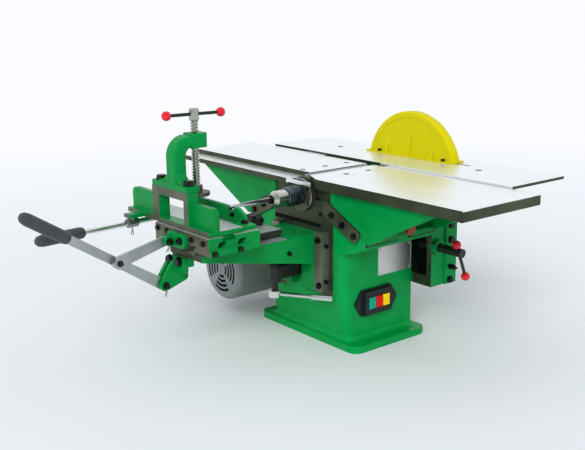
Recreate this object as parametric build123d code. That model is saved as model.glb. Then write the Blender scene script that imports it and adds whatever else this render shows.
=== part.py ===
from build123d import *
import os
from math import cos, hypot, pi, radians, sin, sqrt, tan

# Combination woodworking machine in millimetres: X along the planer tables (infeed end positive),
# Y along the spindle (saw side positive), Z up, origin at the centre of the foot on the floor.

# Foot and column
FLANGE_LENGTH = 342
FLANGE_WIDTH = 224
FLANGE_THICK = 16
FLANGE_CORNER = 22
FOOT_HOLE_X = 153
FOOT_HOLE_Y = 80
FOOT_HOLE = 12
COLUMN_LENGTH = 270
COLUMN_WIDTH = 198
COLUMN_CORNER = 20
BACK_CORNER = 7
COLUMN_WALL = 11
FLARE = 11

# Planer
TABLE_TOP = 374
TABLE_REACH = 470
TABLE_EDGE = 22
PLANER_WIDTH = 230
PLANER_NEAR = -126
PLANER_FAR = PLANER_NEAR + PLANER_WIDTH
CUT_RADIUS = 43
MOUTH_GAP = 1.5
RABBET_WIDTH = 44
RABBET_DEPTH = 11
WAY_ANGLE = radians(26)
WAY_PLATE = 12
SLIDE_GAP = 0.3
LIP_REACH = 74
LIP_THICK = 5
BAR_BELOW = 17.5
BAR_ABOVE = 13
BEAD_LIFT = 14
BEAD_WIDE = 11
BEAD_X = 96
LEDGE_REACH = 40
LEDGE_TALL = 8.5
LEDGE_DEEP = 3

# Infeed adjuster
ADJUSTER = 5
ADJUSTER_Y = 0
ADJUSTER_RISE = 24.5
INFEED_TRAVEL = 14
NUT_BACK = 50
NUT_LENGTH = 20
NUT_HALF = 10
KNOB_RADIUS = 12
KNOB_LONG = 16
KNOB_OUT = 11

# Head of the frame
SPINDLE_Z = TABLE_TOP - CUT_RADIUS
HEAD_FRONT = PLANER_NEAR + 12
HEAD_BACK = PLANER_FAR
FRONT_WALL = 18
BACK_WALL = 16
THROAT_FRONT = HEAD_FRONT + FRONT_WALL
THROAT_BACK = HEAD_BACK - BACK_WALL
WAY_APEX = SPINDLE_Z + 24
HEAD_TOP_HALF = 62
HEAD_END = 200
HEAD_END_DEPTH = 16
SHOULDER_Z = 217
BOSS_RADIUS = CUT_RADIUS - 3
THROAT_RADIUS = CUT_RADIUS + 6

# Spindle
SHAFT = 12.5
BEARING_RADIUS = 26
BEARING_WIDTH = 15
RUNNING = 0.03
CAP_RADIUS = 37
CAP_THICK = 8
BLOCK_RADIUS = CUT_RADIUS - 2
BLOCK_CORE = 17
KNIVES = 3
KNIFE_THICK = 3
BLOCK_GAP = 2
SLEEVE_RADIUS = 22
SLEEVE_LENGTH = 39
NOSE_RADIUS = 18
NOSE_LENGTH = 37
BIT_RADIUS = 5
BIT_LENGTH = 125
CHUCK_GAP = 5

# Saw and its table
BLADE_RADIUS = 125
BLADE_THICK = 3
BLADE_TEETH = 40
BLADE_Y = 226
COLLAR_RADIUS = 32
SAW_TOP = TABLE_TOP + 4
SAW_PLATE = 6
SAW_LOW_X = -384
SAW_HIGH_X = 400
SAW_NEAR = PLANER_FAR + 1.2
SAW_WIDTH = 177.8
SLOT_LOW_X = -147
SLOT_HIGH_X = 187
SLOT_WIDTH = 10
GUARD_X = 7
GUARD_DROP = 35
GUARD_RADIUS = 145
GUARD_WIDTH = 26
GUARD_WALL = 3
GUARD_ROUND = 6
GUARD_RIM = 15
GUARD_DISH = 1
RIB_PITCH = 74
RIB_TOP = 66
RIB_SIDE = 36

# Saw lift
BOX_FACE_X = 192
BOX_FLANGE = 5
FLANGE_SPAN = (141, 177)
LIFT_BOSS = 18
LIFT_BOSS_LONG = 12
BOX_BOTTOM = 116
BOX_TOP = 272
POST_LOW_X = 128
POST_WIDTH = 50
POST_DEPTH = 36
BOX_WALL = 12
PINION_TEETH = 12
MODULE = 1.5
LIFT_SHAFT = 10
LIFT_NECK = 6.5
LIFT_Y = 113
LIFT_Z = 209
LIFT_END = 270
LIFT_BAR_TILT = radians(22.7)
LIFT_BAR_LENGTH = 84.4
LIFT_BAR_DROP = 21.8
BAR_RADIUS = 3.5
BALL_RADIUS = 10
PIN_GAP = 0.4

# Switch
SWITCH = (-20, 99)
SWITCH_DEEP = 14
SWITCH_WIDE = 88
SWITCH_TALL = 60
SWITCH_EAR = 20
EAR_HALF = 12
SWITCH_PLATE = 6
SWITCH_STEP = 3
KEY_PITCH = 21
KEY_WIDE = 19
KEY_TALL = 26
KEY_ROOM = 10
KEY_SHOWS = 3

# Drive
MOTOR_X = -268
MOTOR_Z = 105
MOTOR_RADIUS = 77
MOTOR_FRONT = -118
MOTOR_BACK = 88
FAN_COVER = 39
COVER_ROUND = 14
COVER_WALL = 4.6
COVER_RINGS = 4
COVER_INNER = 15
COVER_PITCH = 11.5
COVER_SLOT = 6.5
COVER_SWEEP = 64
MOTOR_SHAFT = 9.5
MOTOR_FOOT = 40
FOOT_RISE = 4
MOUNT_HALF = 62
MOUNT_PLATE = 12
MOUNT_LOW = 52
MOUNT_HIGH = 58
FAN_RADIUS = 54
FAN_HUB = 20
FAN_WIDE = 18
FAN_DISC = 3
VANE = 2.5
DRIVE_Y = 124
PULLEY_WIDTH = 20
MOTOR_PITCH = 42
SPINDLE_PITCH = 30
BELT_TOP = 13
BELT_BOTTOM = 8
BELT_DEEP = 8

# Knee
KNEE_HALF = 60
KNEE_BACK = -135
KNEE_FRONT = -424
SADDLE_DROP = 68
SADDLE_FOOT = SPINDLE_Z - SADDLE_DROP
SADDLE_STAND = 8
KNEE_TOP = SADDLE_FOOT - SADDLE_STAND
KNEE_NOSE = 12
KNEE_TOE = KNEE_TOP - KNEE_NOSE
KNEE_DEEP = 68
KNEE_HEEL = KNEE_TOP - KNEE_DEEP
KNEE_WALL = 10
KNEE_NUT = 17
APRON = 20
NUT_TALL = 22
SLIDE_FOOT = 126
DOVETAIL_FLARE = 10
PAD_HALF = 102
PAD_BOTTOM = 108
KEEPER_WIDTH = 27
KEEPER_LOW = 127
KEEPER_DROP = 95
KEEPER_HIGH = WAY_APEX - KEEPER_DROP
RAIL_FOOT = 33
RAIL_HEAD = 44
RAIL_TALL = 20
RAIL_END = -208
SCREW_Y = -197
SCREW_RADIUS = 8
ARM_LOW = 153
ARM_HIGH = 181
ARM_HALF = 14
HANDLE_GAP = 9
HANDLE_Z = KEEPER_LOW - HANDLE_GAP
HANDLE_LENGTH = 134
HANDLE_ANGLE = radians(32)
HANDLE_HUB = 14
HANDLE_HUB_TALL = 15
HANDLE_ROD = 4.5
HANDLE_TUBE = 6.5
HANDLE_TUBE_LENGTH = 48

# Saddle and vise
SADDLE_LOW_X = -106
SADDLE_HIGH_X = 94
SADDLE_FRONT = KNEE_FRONT - 6
SADDLE_LENGTH = 125
SADDLE_BACK = SADDLE_FRONT + SADDLE_LENGTH
SADDLE_TRAVEL = 55
SADDLE_TALL = 36
SADDLE_TOP = SADDLE_FOOT + SADDLE_TALL
RAIL_FRONT = SADDLE_FRONT + SADDLE_TRAVEL + 10
GIB = 6
CROSS_Y = SADDLE_FRONT + 50
CROSS_HALF = 12
CROSS_DEEP = 9
STOP_LOW_X = -130
STOP_LENGTH = 178
STOP_TALL = 33
STOP_THICK = 8
STOP_SLOPE = 26
STOP_FOOT = 44
STOP_FOOT_DEEP = 36
BIT_CLEAR = 4
STRIP_WIDE = 5
STRIP_TALL = 13
VISE_LOW_X = -235
VISE_HIGH_X = 86
VISE_FRONT = SADDLE_FRONT + 7
VISE_DEEP = 83
VISE_BACK = VISE_FRONT + VISE_DEEP
VISE_BASE = 10
VISE_TOP = SADDLE_TOP + VISE_BASE
WING_Y = VISE_FRONT + 14
WING_THICK = 12
WING_TALL = 45
WING_TOP = VISE_TOP + WING_TALL
WINDOW_X = -51
WINDOW_WIDE = 96
WINDOW_TALL = 50
FENCE_SPAN = (-125, 12)
FENCE_TALL = 67
FENCE_TOP = VISE_TOP + FENCE_TALL
CLAMP_Y = VISE_FRONT + 63
CLAMP_SCREW = 8.5
ARCH_FOOT = 12
ARCH_HALF = 18
ARCH_DEEP = 30
ARCH_THROAT = 84
ARCH_NOSE = 24
ARCH_NOSE_LOW = FENCE_TOP + ARCH_THROAT
ARCH_NOSE_HIGH = ARCH_NOSE_LOW + ARCH_NOSE
ARCH_FLARE = 34
SHOE_LIFT = 46
SHOE_Z = VISE_TOP + SHOE_LIFT
SHOE_RADIUS = 28
SHOE_THICK = 8
CLAMP_SHOWS = 41
CLAMP_HEAD_Z = ARCH_NOSE_HIGH + CLAMP_SHOWS
CLAMP_BAR_LENGTH = 124
CLAMP_BAR_TURN = radians(84)

# Levers
LEVER_X = -38
FORK_SPAN = (LEVER_X - 14, LEVER_X + 46)
LEVER_THICK = 8
LINK_X = LEVER_X + LEVER_THICK + 0.6
LEVER_WIDE = 18
LEVER_PIN = (KNEE_FRONT - 35, KNEE_TOE - 59)
LEVER_JOINT = (LEVER_PIN[0] - 103, LEVER_PIN[1] + 67)
LINK_PIN = (SADDLE_FRONT - 22, SADDLE_FOOT + 15)
LEVER_LENGTH = 345.5
GRIP_LENGTH = 108
GRIP_RADIUS = 12.5
PIN = 5
JOINT_PLAY = 3.9
TRAVERSE_Z = SADDLE_TOP - 10
TRAVERSE_PIVOT = (SADDLE_LOW_X - 76, SADDLE_BACK - 11)
COLLAR_AT = (VISE_LOW_X + 65, VISE_FRONT - 27)
TRAVERSE_LENGTH = 362
TRAVERSE_ROD = 6
COLLAR_PLAY = 1.2

SPINDLE = Plane(origin=(0, 0, SPINDLE_Z), x_dir=(1, 0, 0), z_dir=(0, 1, 0))
MOTOR = Plane(origin=(MOTOR_X, 0, MOTOR_Z), x_dir=(1, 0, 0), z_dir=(0, 1, 0))


def block(x, y, z):
    """Box between two limits on each axis."""
    centre = [(low + high) / 2 for low, high in (x, y, z)]
    return Pos(*centre) * Box(x[1] - x[0], y[1] - y[0], z[1] - z[0])


def outline(points, rounds=None):
    """Flat face from corner points; rounds gives the radius of a corner by its number."""
    rounds = rounds or {}
    ends = []
    for i, (px, py) in enumerate(points):
        ax, ay = points[i - 1][0] - px, points[i - 1][1] - py
        bx, by = points[(i + 1) % len(points)][0] - px, points[(i + 1) % len(points)][1] - py
        la, lb = hypot(ax, ay), hypot(bx, by)
        ax, ay, bx, by = ax / la, ay / la, bx / lb, by / lb
        radius = rounds.get(i, 0)
        if not radius:
            ends.append(((px, py), None, (px, py)))
            continue
        half_cos = sqrt((1 + ax * bx + ay * by) / 2)
        half_sin = sqrt(1 - half_cos**2)
        reach = radius * half_cos / half_sin
        mx, my = ax + bx, ay + by
        size = hypot(mx, my)
        dip = radius / half_sin - radius
        middle = (px + mx / size * dip, py + my / size * dip)
        ends.append(((px + ax * reach, py + ay * reach), middle, (px + bx * reach, py + by * reach)))
    edges = []
    for i, (start, middle, finish) in enumerate(ends):
        if middle:
            edges.append(ThreePointArc(start, middle, finish))
        following = ends[(i + 1) % len(ends)][0]
        if hypot(following[0] - finish[0], following[1] - finish[1]) > 1e-6:
            edges.append(Line(finish, following))
    return make_face(edges)


def prism(axis, points, low, high, rounds=None):
    """Outline drawn across one axis and drawn out along it between two limits."""
    planes = {
        "x": Plane(origin=(low, 0, 0), x_dir=(0, 1, 0), z_dir=(1, 0, 0)),
        "y": Plane(origin=(0, high, 0), x_dir=(1, 0, 0), z_dir=(0, -1, 0)),
        "z": Plane(origin=(0, 0, low), x_dir=(1, 0, 0), z_dir=(0, 0, 1)),
    }
    plane = planes[axis]
    return extrude(plane * outline(points, rounds), amount=high - low, dir=plane.z_dir)


def rod(start, end, radius):
    """Round bar between two points."""
    run = Vector(*end) - Vector(*start)
    foot = Plane(origin=start, z_dir=run)
    return foot * Cylinder(radius, run.length, align=(Align.CENTER, Align.CENTER, Align.MIN))


def turned(profile, plane):
    """Solid of revolution about a plane's normal from (radius, height) points."""
    face = make_face(Polyline(*[(radius, 0, height) for radius, height in profile], close=True))
    return plane * revolve(face, axis=Axis.Z)


def tube(plane, outer, inner, low, high):
    return turned([(inner, low), (outer, low), (outer, high), (inner, high)], plane)


def disc(plane, radius, low, high):
    return plane * (Pos(0, 0, (low + high) / 2) * Cylinder(radius, high - low))


def way(x):
    """Height of the frame's inclined way at a distance from the spindle."""
    return WAY_APEX - tan(WAY_ANGLE) * abs(x)


def along_way(run, rise):
    """Point at a distance along the inclined way and a height square to it."""
    x = run * cos(WAY_ANGLE) + rise * sin(WAY_ANGLE)
    return (x, WAY_APEX - run * sin(WAY_ANGLE) + rise * cos(WAY_ANGLE))


def mirrored(points):
    return [(-x, z) for x, z in reversed(points)]


# Frame
def frame_casting():
    half_x = COLUMN_LENGTH / 2
    half_y = COLUMN_WIDTH / 2
    foot = extrude(RectangleRounded(FLANGE_LENGTH, FLANGE_WIDTH, FLANGE_CORNER), FLANGE_THICK)
    stem = column_plan(-half_y)
    upper = Pos(0, 0, PAD_BOTTOM) * column_plan(HEAD_FRONT)
    draft = FLANGE_THICK + FLARE + 3
    column = extrude(stem, draft) + loft([Pos(0, 0, draft) * stem, upper], ruled=True)
    body = foot + column + extrude(upper, SHOULDER_Z + 4 - PAD_BOTTOM)
    seam = body.edges().filter_by_position(Axis.Z, FLANGE_THICK, FLANGE_THICK)
    seam = seam.filter_by_position(Axis.X, -half_x, half_x).filter_by_position(Axis.Y, -half_y, half_y)
    body = fillet(seam, FLARE)
    side = [
        (HEAD_TOP_HALF, way(HEAD_TOP_HALF)),
        (HEAD_END, way(HEAD_END)),
        (HEAD_END, way(HEAD_END) - HEAD_END_DEPTH),
        (half_x, SHOULDER_Z),
    ]
    body += prism("y", side[::-1] + mirrored(side)[::-1], HEAD_FRONT, HEAD_BACK)
    for low, high in ((HEAD_FRONT, THROAT_FRONT), (THROAT_BACK, HEAD_BACK)):
        body += disc(SPINDLE, BOSS_RADIUS, low, high)
    pad = ((-PAD_HALF, PAD_HALF), (HEAD_FRONT, -half_y + 1), (PAD_BOTTOM, SHOULDER_Z + 10))
    body += block(*pad)
    body += lift_box(half_x, half_y)
    hollow = RectangleRounded(
        COLUMN_LENGTH - 2 * COLUMN_WALL, COLUMN_WIDTH - 2 * COLUMN_WALL, COLUMN_CORNER - COLUMN_WALL
    )
    body -= extrude(hollow, SHOULDER_Z - COLUMN_WALL)
    body -= disc(SPINDLE, THROAT_RADIUS, THROAT_FRONT, THROAT_BACK)
    across = (-THROAT_RADIUS, THROAT_RADIUS)
    body -= block(across, (THROAT_FRONT, THROAT_BACK), (SPINDLE_Z, TABLE_TOP))
    chute = (-BOSS_RADIUS, BOSS_RADIUS)
    body -= block(chute, (THROAT_FRONT + 14, THROAT_BACK - 14), (SHOULDER_Z - 20, SPINDLE_Z))
    body -= disc(SPINDLE, BEARING_RADIUS, HEAD_FRONT, HEAD_FRONT + BEARING_WIDTH)
    body -= disc(SPINDLE, BEARING_RADIUS, HEAD_BACK - BEARING_WIDTH, HEAD_BACK)
    body -= disc(SPINDLE, BEARING_RADIUS - 5, HEAD_FRONT, HEAD_BACK)
    groove = KEEPER_HIGH + 3
    body -= block((-PAD_HALF, KNEE_HALF), (HEAD_FRONT, HEAD_FRONT + 4), (groove, groove + 10))
    body += adjuster_post(0, 0)
    body -= rod(*adjuster_line(-2 * NUT_BACK, 0), ADJUSTER + PIN_GAP)
    for x in (-FOOT_HOLE_X, FOOT_HOLE_X):
        for y in (-FOOT_HOLE_Y, FOOT_HOLE_Y):
            body -= Pos(x, y, FLANGE_THICK / 2) * Cylinder(FOOT_HOLE / 2, FLANGE_THICK + 2)
    return body


def column_plan(front):
    """Plan of the column, with large corners at the front and small ones at the back."""
    x, back = COLUMN_LENGTH / 2, COLUMN_WIDTH / 2
    corners = {0: COLUMN_CORNER, 1: COLUMN_CORNER, 2: BACK_CORNER, 3: BACK_CORNER}
    return outline([(-x, front), (x, front), (x, back), (-x, back)], corners)


def lift_box(half_x, half_y):
    """Upright sleeve on the saw side that guides the post of the saw table."""
    inside = (POST_LOW_X - PIN_GAP, POST_LOW_X + POST_WIDTH + PIN_GAP)
    depth = (half_y, post_y()[1] + PIN_GAP + BOX_WALL / 2)
    shell = block((inside[0] - BOX_WALL, BOX_FACE_X), depth, (BOX_BOTTOM, BOX_TOP))
    shell += block((half_x - 50, inside[0]), (half_y - 1, half_y + 15), (BOX_BOTTOM, BOX_TOP - 20))
    room = (LIFT_Y - MODULE * PINION_TEETH / 2 - MODULE - 0.6, depth[1] - BOX_WALL / 2)
    shell -= block(inside, room, (BOX_BOTTOM - 1, BOX_TOP + 1))
    window = [
        (inside[0] - BOX_WALL / 2, BOX_BOTTOM + 24),
        (inside[1] - 1, BOX_BOTTOM + 24),
        (inside[1] - 1, BOX_TOP - 32),
        (inside[0] - BOX_WALL / 2, BOX_TOP - 32),
    ]
    shell -= prism("y", window, half_y + 15 - 16, room[0] + 1, {2: 26, 3: 20})
    shell -= rod((inside[0] - 9, LIFT_Y, LIFT_Z), (inside[0], LIFT_Y, LIFT_Z), LIFT_NECK + RUNNING)
    shell += block((BOX_FACE_X - 1, BOX_FACE_X + BOX_FLANGE), FLANGE_SPAN, (BOX_BOTTOM, BOX_TOP))
    boss = BOX_FACE_X + LIFT_BOSS_LONG
    shell += rod((BOX_FACE_X - 1, LIFT_Y, LIFT_Z), (boss, LIFT_Y, LIFT_Z), LIFT_BOSS)
    shell -= rod((inside[1], LIFT_Y, LIFT_Z), (boss + 1, LIFT_Y, LIFT_Z), LIFT_SHAFT + RUNNING)
    return shell


def post_y():
    rack_line = LIFT_Y + MODULE * PINION_TEETH / 2
    return rack_line + 4, rack_line + 4 + POST_DEPTH


def bearing_caps():
    bore = SHAFT + 2
    profile = [(bore, 0), (CAP_RADIUS, 0), (CAP_RADIUS, CAP_THICK - 2), (CAP_RADIUS - 2, CAP_THICK), (bore, CAP_THICK)]
    front = turned([(r, HEAD_FRONT - h) for r, h in profile], SPINDLE)
    back = turned([(r, HEAD_BACK + h) for r, h in profile], SPINDLE)
    return [front, back]


def spindle_bearings():
    front = tube(SPINDLE, BEARING_RADIUS, SHAFT + RUNNING, HEAD_FRONT, HEAD_FRONT + BEARING_WIDTH)
    back = tube(SPINDLE, BEARING_RADIUS, SHAFT + RUNNING, HEAD_BACK - BEARING_WIDTH, HEAD_BACK)
    return [front, back]


def knee_keepers():
    inner = KNEE_HALF + 1
    section = [
        (inner, KNEE_BACK),
        (inner + KEEPER_WIDTH, KNEE_BACK),
        (inner + KEEPER_WIDTH, HEAD_FRONT),
        (inner + DOVETAIL_FLARE, HEAD_FRONT),
    ]
    right = prism("z", section, KEEPER_LOW, KEEPER_HIGH)
    return [right, mirror(right, about=Plane.YZ)]


def way_gibs():
    """Bars on the front face that overlap the slide plates of both planer tables."""
    low = (HEAD_TOP_HALF + 16) / cos(WAY_ANGLE)
    high = (HEAD_END - 16) / cos(WAY_ANGLE)
    corners = ((low, -BAR_BELOW), (high, -BAR_BELOW), (high, BAR_ABOVE), (low, BAR_ABOVE))
    bar = [along_way(run, rise) for run, rise in corners]
    right = prism("y", bar, HEAD_FRONT - 7, HEAD_FRONT, {1: 9, 2: 9})
    return [right, mirror(right, about=Plane.YZ)]


def switch_housing():
    face = COLUMN_LENGTH / 2
    y, z = SWITCH
    wide, tall = SWITCH_WIDE / 2, SWITCH_TALL / 2
    shape = [
        (y - wide, z - tall),
        (y + wide, z - tall),
        (y + wide, z - EAR_HALF),
        (y + wide + SWITCH_EAR, z),
        (y + wide, z + EAR_HALF),
        (y + wide, z + tall),
        (y - wide, z + tall),
        (y - wide, z + EAR_HALF),
        (y - wide - SWITCH_EAR, z),
        (y - wide, z - EAR_HALF),
    ]
    body = prism("x", shape, face, face + SWITCH_PLATE, {0: 6, 1: 6, 3: 5, 5: 6, 6: 6, 8: 5})
    wide, tall = wide - SWITCH_STEP, tall - SWITCH_STEP
    core = [(y - wide, z - tall), (y + wide, z - tall), (y + wide, z + tall), (y - wide, z + tall)]
    body += prism("x", core, face, face + SWITCH_DEEP, {0: 5, 1: 5, 2: 5, 3: 5})
    for place in range(3):
        body -= block(*button_box(place, PIN_GAP, face + SWITCH_DEEP - KEY_ROOM, face + SWITCH_DEEP + 1))
    return body


def button_box(place, gap, low, high):
    y = SWITCH[0] + (place - 1) * KEY_PITCH
    z = SWITCH[1]
    wide, tall = KEY_WIDE / 2 + gap, KEY_TALL / 2 + gap
    return ((low, high), (y - wide, y + wide), (z - tall, z + tall))


def push_button(place):
    face = COLUMN_LENGTH / 2 + SWITCH_DEEP
    key = block(*button_box(place, 0, face + KEY_SHOWS - KEY_ROOM + 1, face + KEY_SHOWS))
    return fillet(key.faces().sort_by(Axis.X)[-1].edges(), 1.5)


def motor_mount():
    face = -COLUMN_LENGTH / 2
    near = MOTOR_X + MOTOR_RADIUS + FOOT_RISE
    tall = (MOTOR_Z - MOTOR_FOOT, MOTOR_Z + MOTOR_FOOT)
    wide = (-MOUNT_HALF, MOUNT_HALF)
    mount = block((face - MOUNT_PLATE, face), wide, (MOTOR_Z - MOUNT_LOW, MOTOR_Z + MOUNT_HIGH))
    mount += block((near, near + MOUNT_PLATE), (wide[0] + 6, wide[1] - 6), (tall[0] - 4, tall[1] + 4))
    for side in (wide[0] + 14, wide[1] - 14 - MOUNT_PLATE):
        mount += block((near, face), (side, side + MOUNT_PLATE), tall)
    return mount


def motor_body():
    shell = [
        (0, MOTOR_FRONT),
        (MOTOR_RADIUS - 5, MOTOR_FRONT),
        (MOTOR_RADIUS - 5, MOTOR_FRONT + 18),
        (MOTOR_RADIUS, MOTOR_FRONT + 18),
        (MOTOR_RADIUS, MOTOR_BACK - 18),
        (MOTOR_RADIUS - 8, MOTOR_BACK - 10),
        (MOTOR_RADIUS - 30, MOTOR_BACK),
        (0, MOTOR_BACK),
    ]
    body = turned(shell, MOTOR)
    for side in (-40, 28):
        foot = (MOTOR_X + MOTOR_RADIUS - 14, MOTOR_X + MOTOR_RADIUS + FOOT_RISE)
        body += block(foot, (side, side + MOUNT_PLATE), (MOTOR_Z - MOTOR_FOOT, MOTOR_Z + MOTOR_FOOT))
    return body - disc(MOTOR, MOTOR_SHAFT + RUNNING, MOTOR_FRONT - 1, MOTOR_BACK + 1)


def motor_fan_cover():
    """Sheet cap over the cooling fan with rings of curved air slots in its face."""
    low = MOTOR_FRONT - FAN_COVER
    cover = rounded_cap(MOTOR_RADIUS, low, COVER_ROUND)
    cover -= rounded_cap(MOTOR_RADIUS - COVER_WALL, low + 4, COVER_ROUND - COVER_WALL)
    for ring in range(COVER_RINGS):
        radius = COVER_INNER + ring * COVER_PITCH
        for quarter in range(4):
            slot = make_face(slot_edges(radius, COVER_SLOT, quarter * 90, COVER_SWEEP))
            cover -= MOTOR * (Pos(0, 0, low - 1) * extrude(slot, 6))
    return cover


def rounded_cap(radius, low, corner):
    """Cylinder about the motor axis whose front rim is rounded."""
    cap = disc(MOTOR, radius, low, MOTOR_FRONT + 18)
    return fillet(cap.edges().filter_by_position(Axis.Y, low - 0.1, low + 0.1), corner)


def slot_edges(radius, wide, centre, sweep):
    """Outline of a ring sector about the origin."""
    points = []
    for r in (radius, radius + wide):
        for turn in (-sweep / 2, 0, sweep / 2):
            a = radians(centre + turn)
            points.append((r * cos(a), r * sin(a)))
    inner = ThreePointArc(points[0], points[1], points[2])
    outer = ThreePointArc(points[3], points[4], points[5])
    return [inner, outer, Line(points[0], points[3]), Line(points[2], points[5])]


def motor_terminal_box():
    top = MOTOR_Z + MOTOR_RADIUS
    body = block((MOTOR_X - 32, MOTOR_X + 32), (-38, 38), (top - 12, top + 30))
    body = fillet(body.edges().filter_by(Axis.Z), 8)
    return body - disc(MOTOR, MOTOR_RADIUS, -60, 60)


def drive_belt():
    """Closed V-belt round both pulleys."""
    top, bottom = BELT_TOP / 2, BELT_BOTTOM / 2
    grow = BELT_DEEP / 2
    solid = extrude(loop_face(grow, DRIVE_Y + top), amount=2 * top, dir=(0, -1, 0))
    solid -= extrude(loop_face(-grow, DRIVE_Y + top + 1), amount=2 * top + 2, dir=(0, -1, 0))
    for side in (-1, 1):
        inner = loop_face(-grow, DRIVE_Y + side * bottom)
        outer = loop_face(grow, DRIVE_Y + side * (top + 0.01))
        solid -= loft([inner, outer], ruled=True)
    return solid


def loop_face(grow, y):
    """Racetrack round both pulley axes at the pitch line plus an offset."""
    run_x, run_z = MOTOR_X, MOTOR_Z - SPINDLE_Z
    distance = hypot(run_x, run_z)
    lean = (MOTOR_PITCH - SPINDLE_PITCH) / distance
    ux, uz = run_x / distance, run_z / distance
    flat = sqrt(1 - lean**2)
    ends = []
    for side in (1, -1):
        nx = -lean * ux - side * flat * uz
        nz = -lean * uz + side * flat * ux
        ends.append((nx, nz))
    small, large = SPINDLE_PITCH + grow, MOTOR_PITCH + grow
    (ax, az), (bx, bz) = ends
    a = (small * ax, y, SPINDLE_Z + small * az)
    b = (small * bx, y, SPINDLE_Z + small * bz)
    c = (MOTOR_X + large * ax, y, MOTOR_Z + large * az)
    d = (MOTOR_X + large * bx, y, MOTOR_Z + large * bz)
    near = (-small * ux, y, SPINDLE_Z - small * uz)
    far = (MOTOR_X + large * ux, y, MOTOR_Z + large * uz)
    return make_face([ThreePointArc(a, near, b), Line(b, d), ThreePointArc(d, far, c), Line(c, a)])


def v_pulley(plane, pitch, bore):
    """Grooved wheel whose groove clears the belt by a hair."""
    low = DRIVE_Y - PULLEY_WIDTH / 2
    high = DRIVE_Y + PULLEY_WIDTH / 2
    rim = pitch + BELT_DEEP / 2 - 1
    root = pitch - BELT_DEEP / 2 - 3
    top, bottom = BELT_TOP / 2 + 0.25, BELT_BOTTOM / 2 + 0.05
    profile = [(bore, low), (rim, low), (rim, DRIVE_Y - top), (root, DRIVE_Y - bottom)]
    profile += [(root, DRIVE_Y + bottom), (rim, DRIVE_Y + top), (rim, high), (bore, high)]
    return turned(profile, plane)


def elevating_bracket():
    """Bar from the column pad that carries the elevating screw of the knee."""
    bar = block((-ARM_HALF, ARM_HALF), (SCREW_Y, HEAD_FRONT), (ARM_LOW, ARM_HIGH))
    bar += Pos(0, SCREW_Y, (ARM_LOW + ARM_HIGH) / 2) * Cylinder(ARM_HALF, ARM_HIGH - ARM_LOW)
    return bar - Pos(0, SCREW_Y, ARM_LOW) * Cylinder(SCREW_RADIUS + RUNNING, 80)


# Rotating drive parts
def motor_shaft():
    low = MOTOR_FRONT - FAN_COVER + 10
    return disc(MOTOR, MOTOR_SHAFT, low, DRIVE_Y + PULLEY_WIDTH / 2 + 6)


def motor_fan():
    low = MOTOR_FRONT - FAN_COVER + 12
    high = low + FAN_WIDE
    fan = disc(MOTOR, FAN_HUB, low, high) + disc(MOTOR, FAN_RADIUS, high - FAN_DISC, high)
    for blade in range(8):
        vane = block((FAN_HUB - 2, FAN_RADIUS), (-VANE / 2, VANE / 2), (low, high - FAN_DISC + 1))
        fan += MOTOR * (Rot(0, 0, blade * 45) * vane)
    return fan - disc(MOTOR, MOTOR_SHAFT, low - 1, high + 1)


def spindle_shaft():
    chuck = HEAD_FRONT - CAP_THICK
    shoulder = DRIVE_Y + PULLEY_WIDTH / 2 + 4
    collar = BLADE_Y - 12
    end = BLADE_Y + BLADE_THICK + 30
    profile = [
        (0, chuck - 34),
        (9, chuck - 34),
        (9, chuck),
        (SHAFT, chuck),
        (SHAFT, THROAT_FRONT + BLOCK_GAP),
        (BLOCK_CORE, THROAT_FRONT + BLOCK_GAP),
        (BLOCK_CORE, THROAT_BACK - BLOCK_GAP),
        (SHAFT, THROAT_BACK - BLOCK_GAP),
        (SHAFT, shoulder),
        (SHAFT + 3, shoulder),
        (SHAFT + 3, collar),
        (COLLAR_RADIUS, collar),
        (COLLAR_RADIUS, BLADE_Y),
        (SHAFT, BLADE_Y),
        (SHAFT, end),
        (0, end),
    ]
    return turned(profile, SPINDLE)


def knife_slot(turn, thick, low, high):
    """Radial bar along the cutter block."""
    bar = block((-thick / 2, thick / 2), (low, high), (THROAT_FRONT + BLOCK_GAP, THROAT_BACK - BLOCK_GAP))
    return SPINDLE * (Rot(0, 0, turn) * bar)


def cutter_block():
    low, high = THROAT_FRONT + BLOCK_GAP, THROAT_BACK - BLOCK_GAP
    body = tube(SPINDLE, BLOCK_RADIUS, BLOCK_CORE, low, high)
    for knife in range(KNIVES):
        turn = knife * 360 / KNIVES + 40
        body -= knife_slot(turn, KNIFE_THICK, BLOCK_RADIUS - 18, BLOCK_RADIUS + 4)
        gullet = [(KNIFE_THICK / 2, BLOCK_RADIUS + 4), (KNIFE_THICK / 2, BLOCK_RADIUS - 9), (20, BLOCK_RADIUS + 4)]
        cut = Pos(0, 0, low) * extrude(outline(gullet, {1: 2}), high - low)
        body -= SPINDLE * (Rot(0, 0, turn) * cut)
    return body


def planer_knives():
    return [
        knife_slot(k * 360 / KNIVES + 40, KNIFE_THICK, BLOCK_RADIUS - 18, CUT_RADIUS) for k in range(KNIVES)
    ]


def saw_blade():
    points = []
    for tooth in range(BLADE_TEETH):
        for share, radius in ((0, BLADE_RADIUS), (0.3, BLADE_RADIUS - 2), (0.75, BLADE_RADIUS - 8), (0.98, BLADE_RADIUS - 8)):
            a = 2 * pi * (tooth + share) / BLADE_TEETH
            points.append((radius * cos(a), radius * sin(a)))
    plate = Pos(0, 0, BLADE_Y) * extrude(outline(points), BLADE_THICK)
    return SPINDLE * plate - disc(SPINDLE, SHAFT, BLADE_Y - 1, BLADE_Y + 9)


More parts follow.
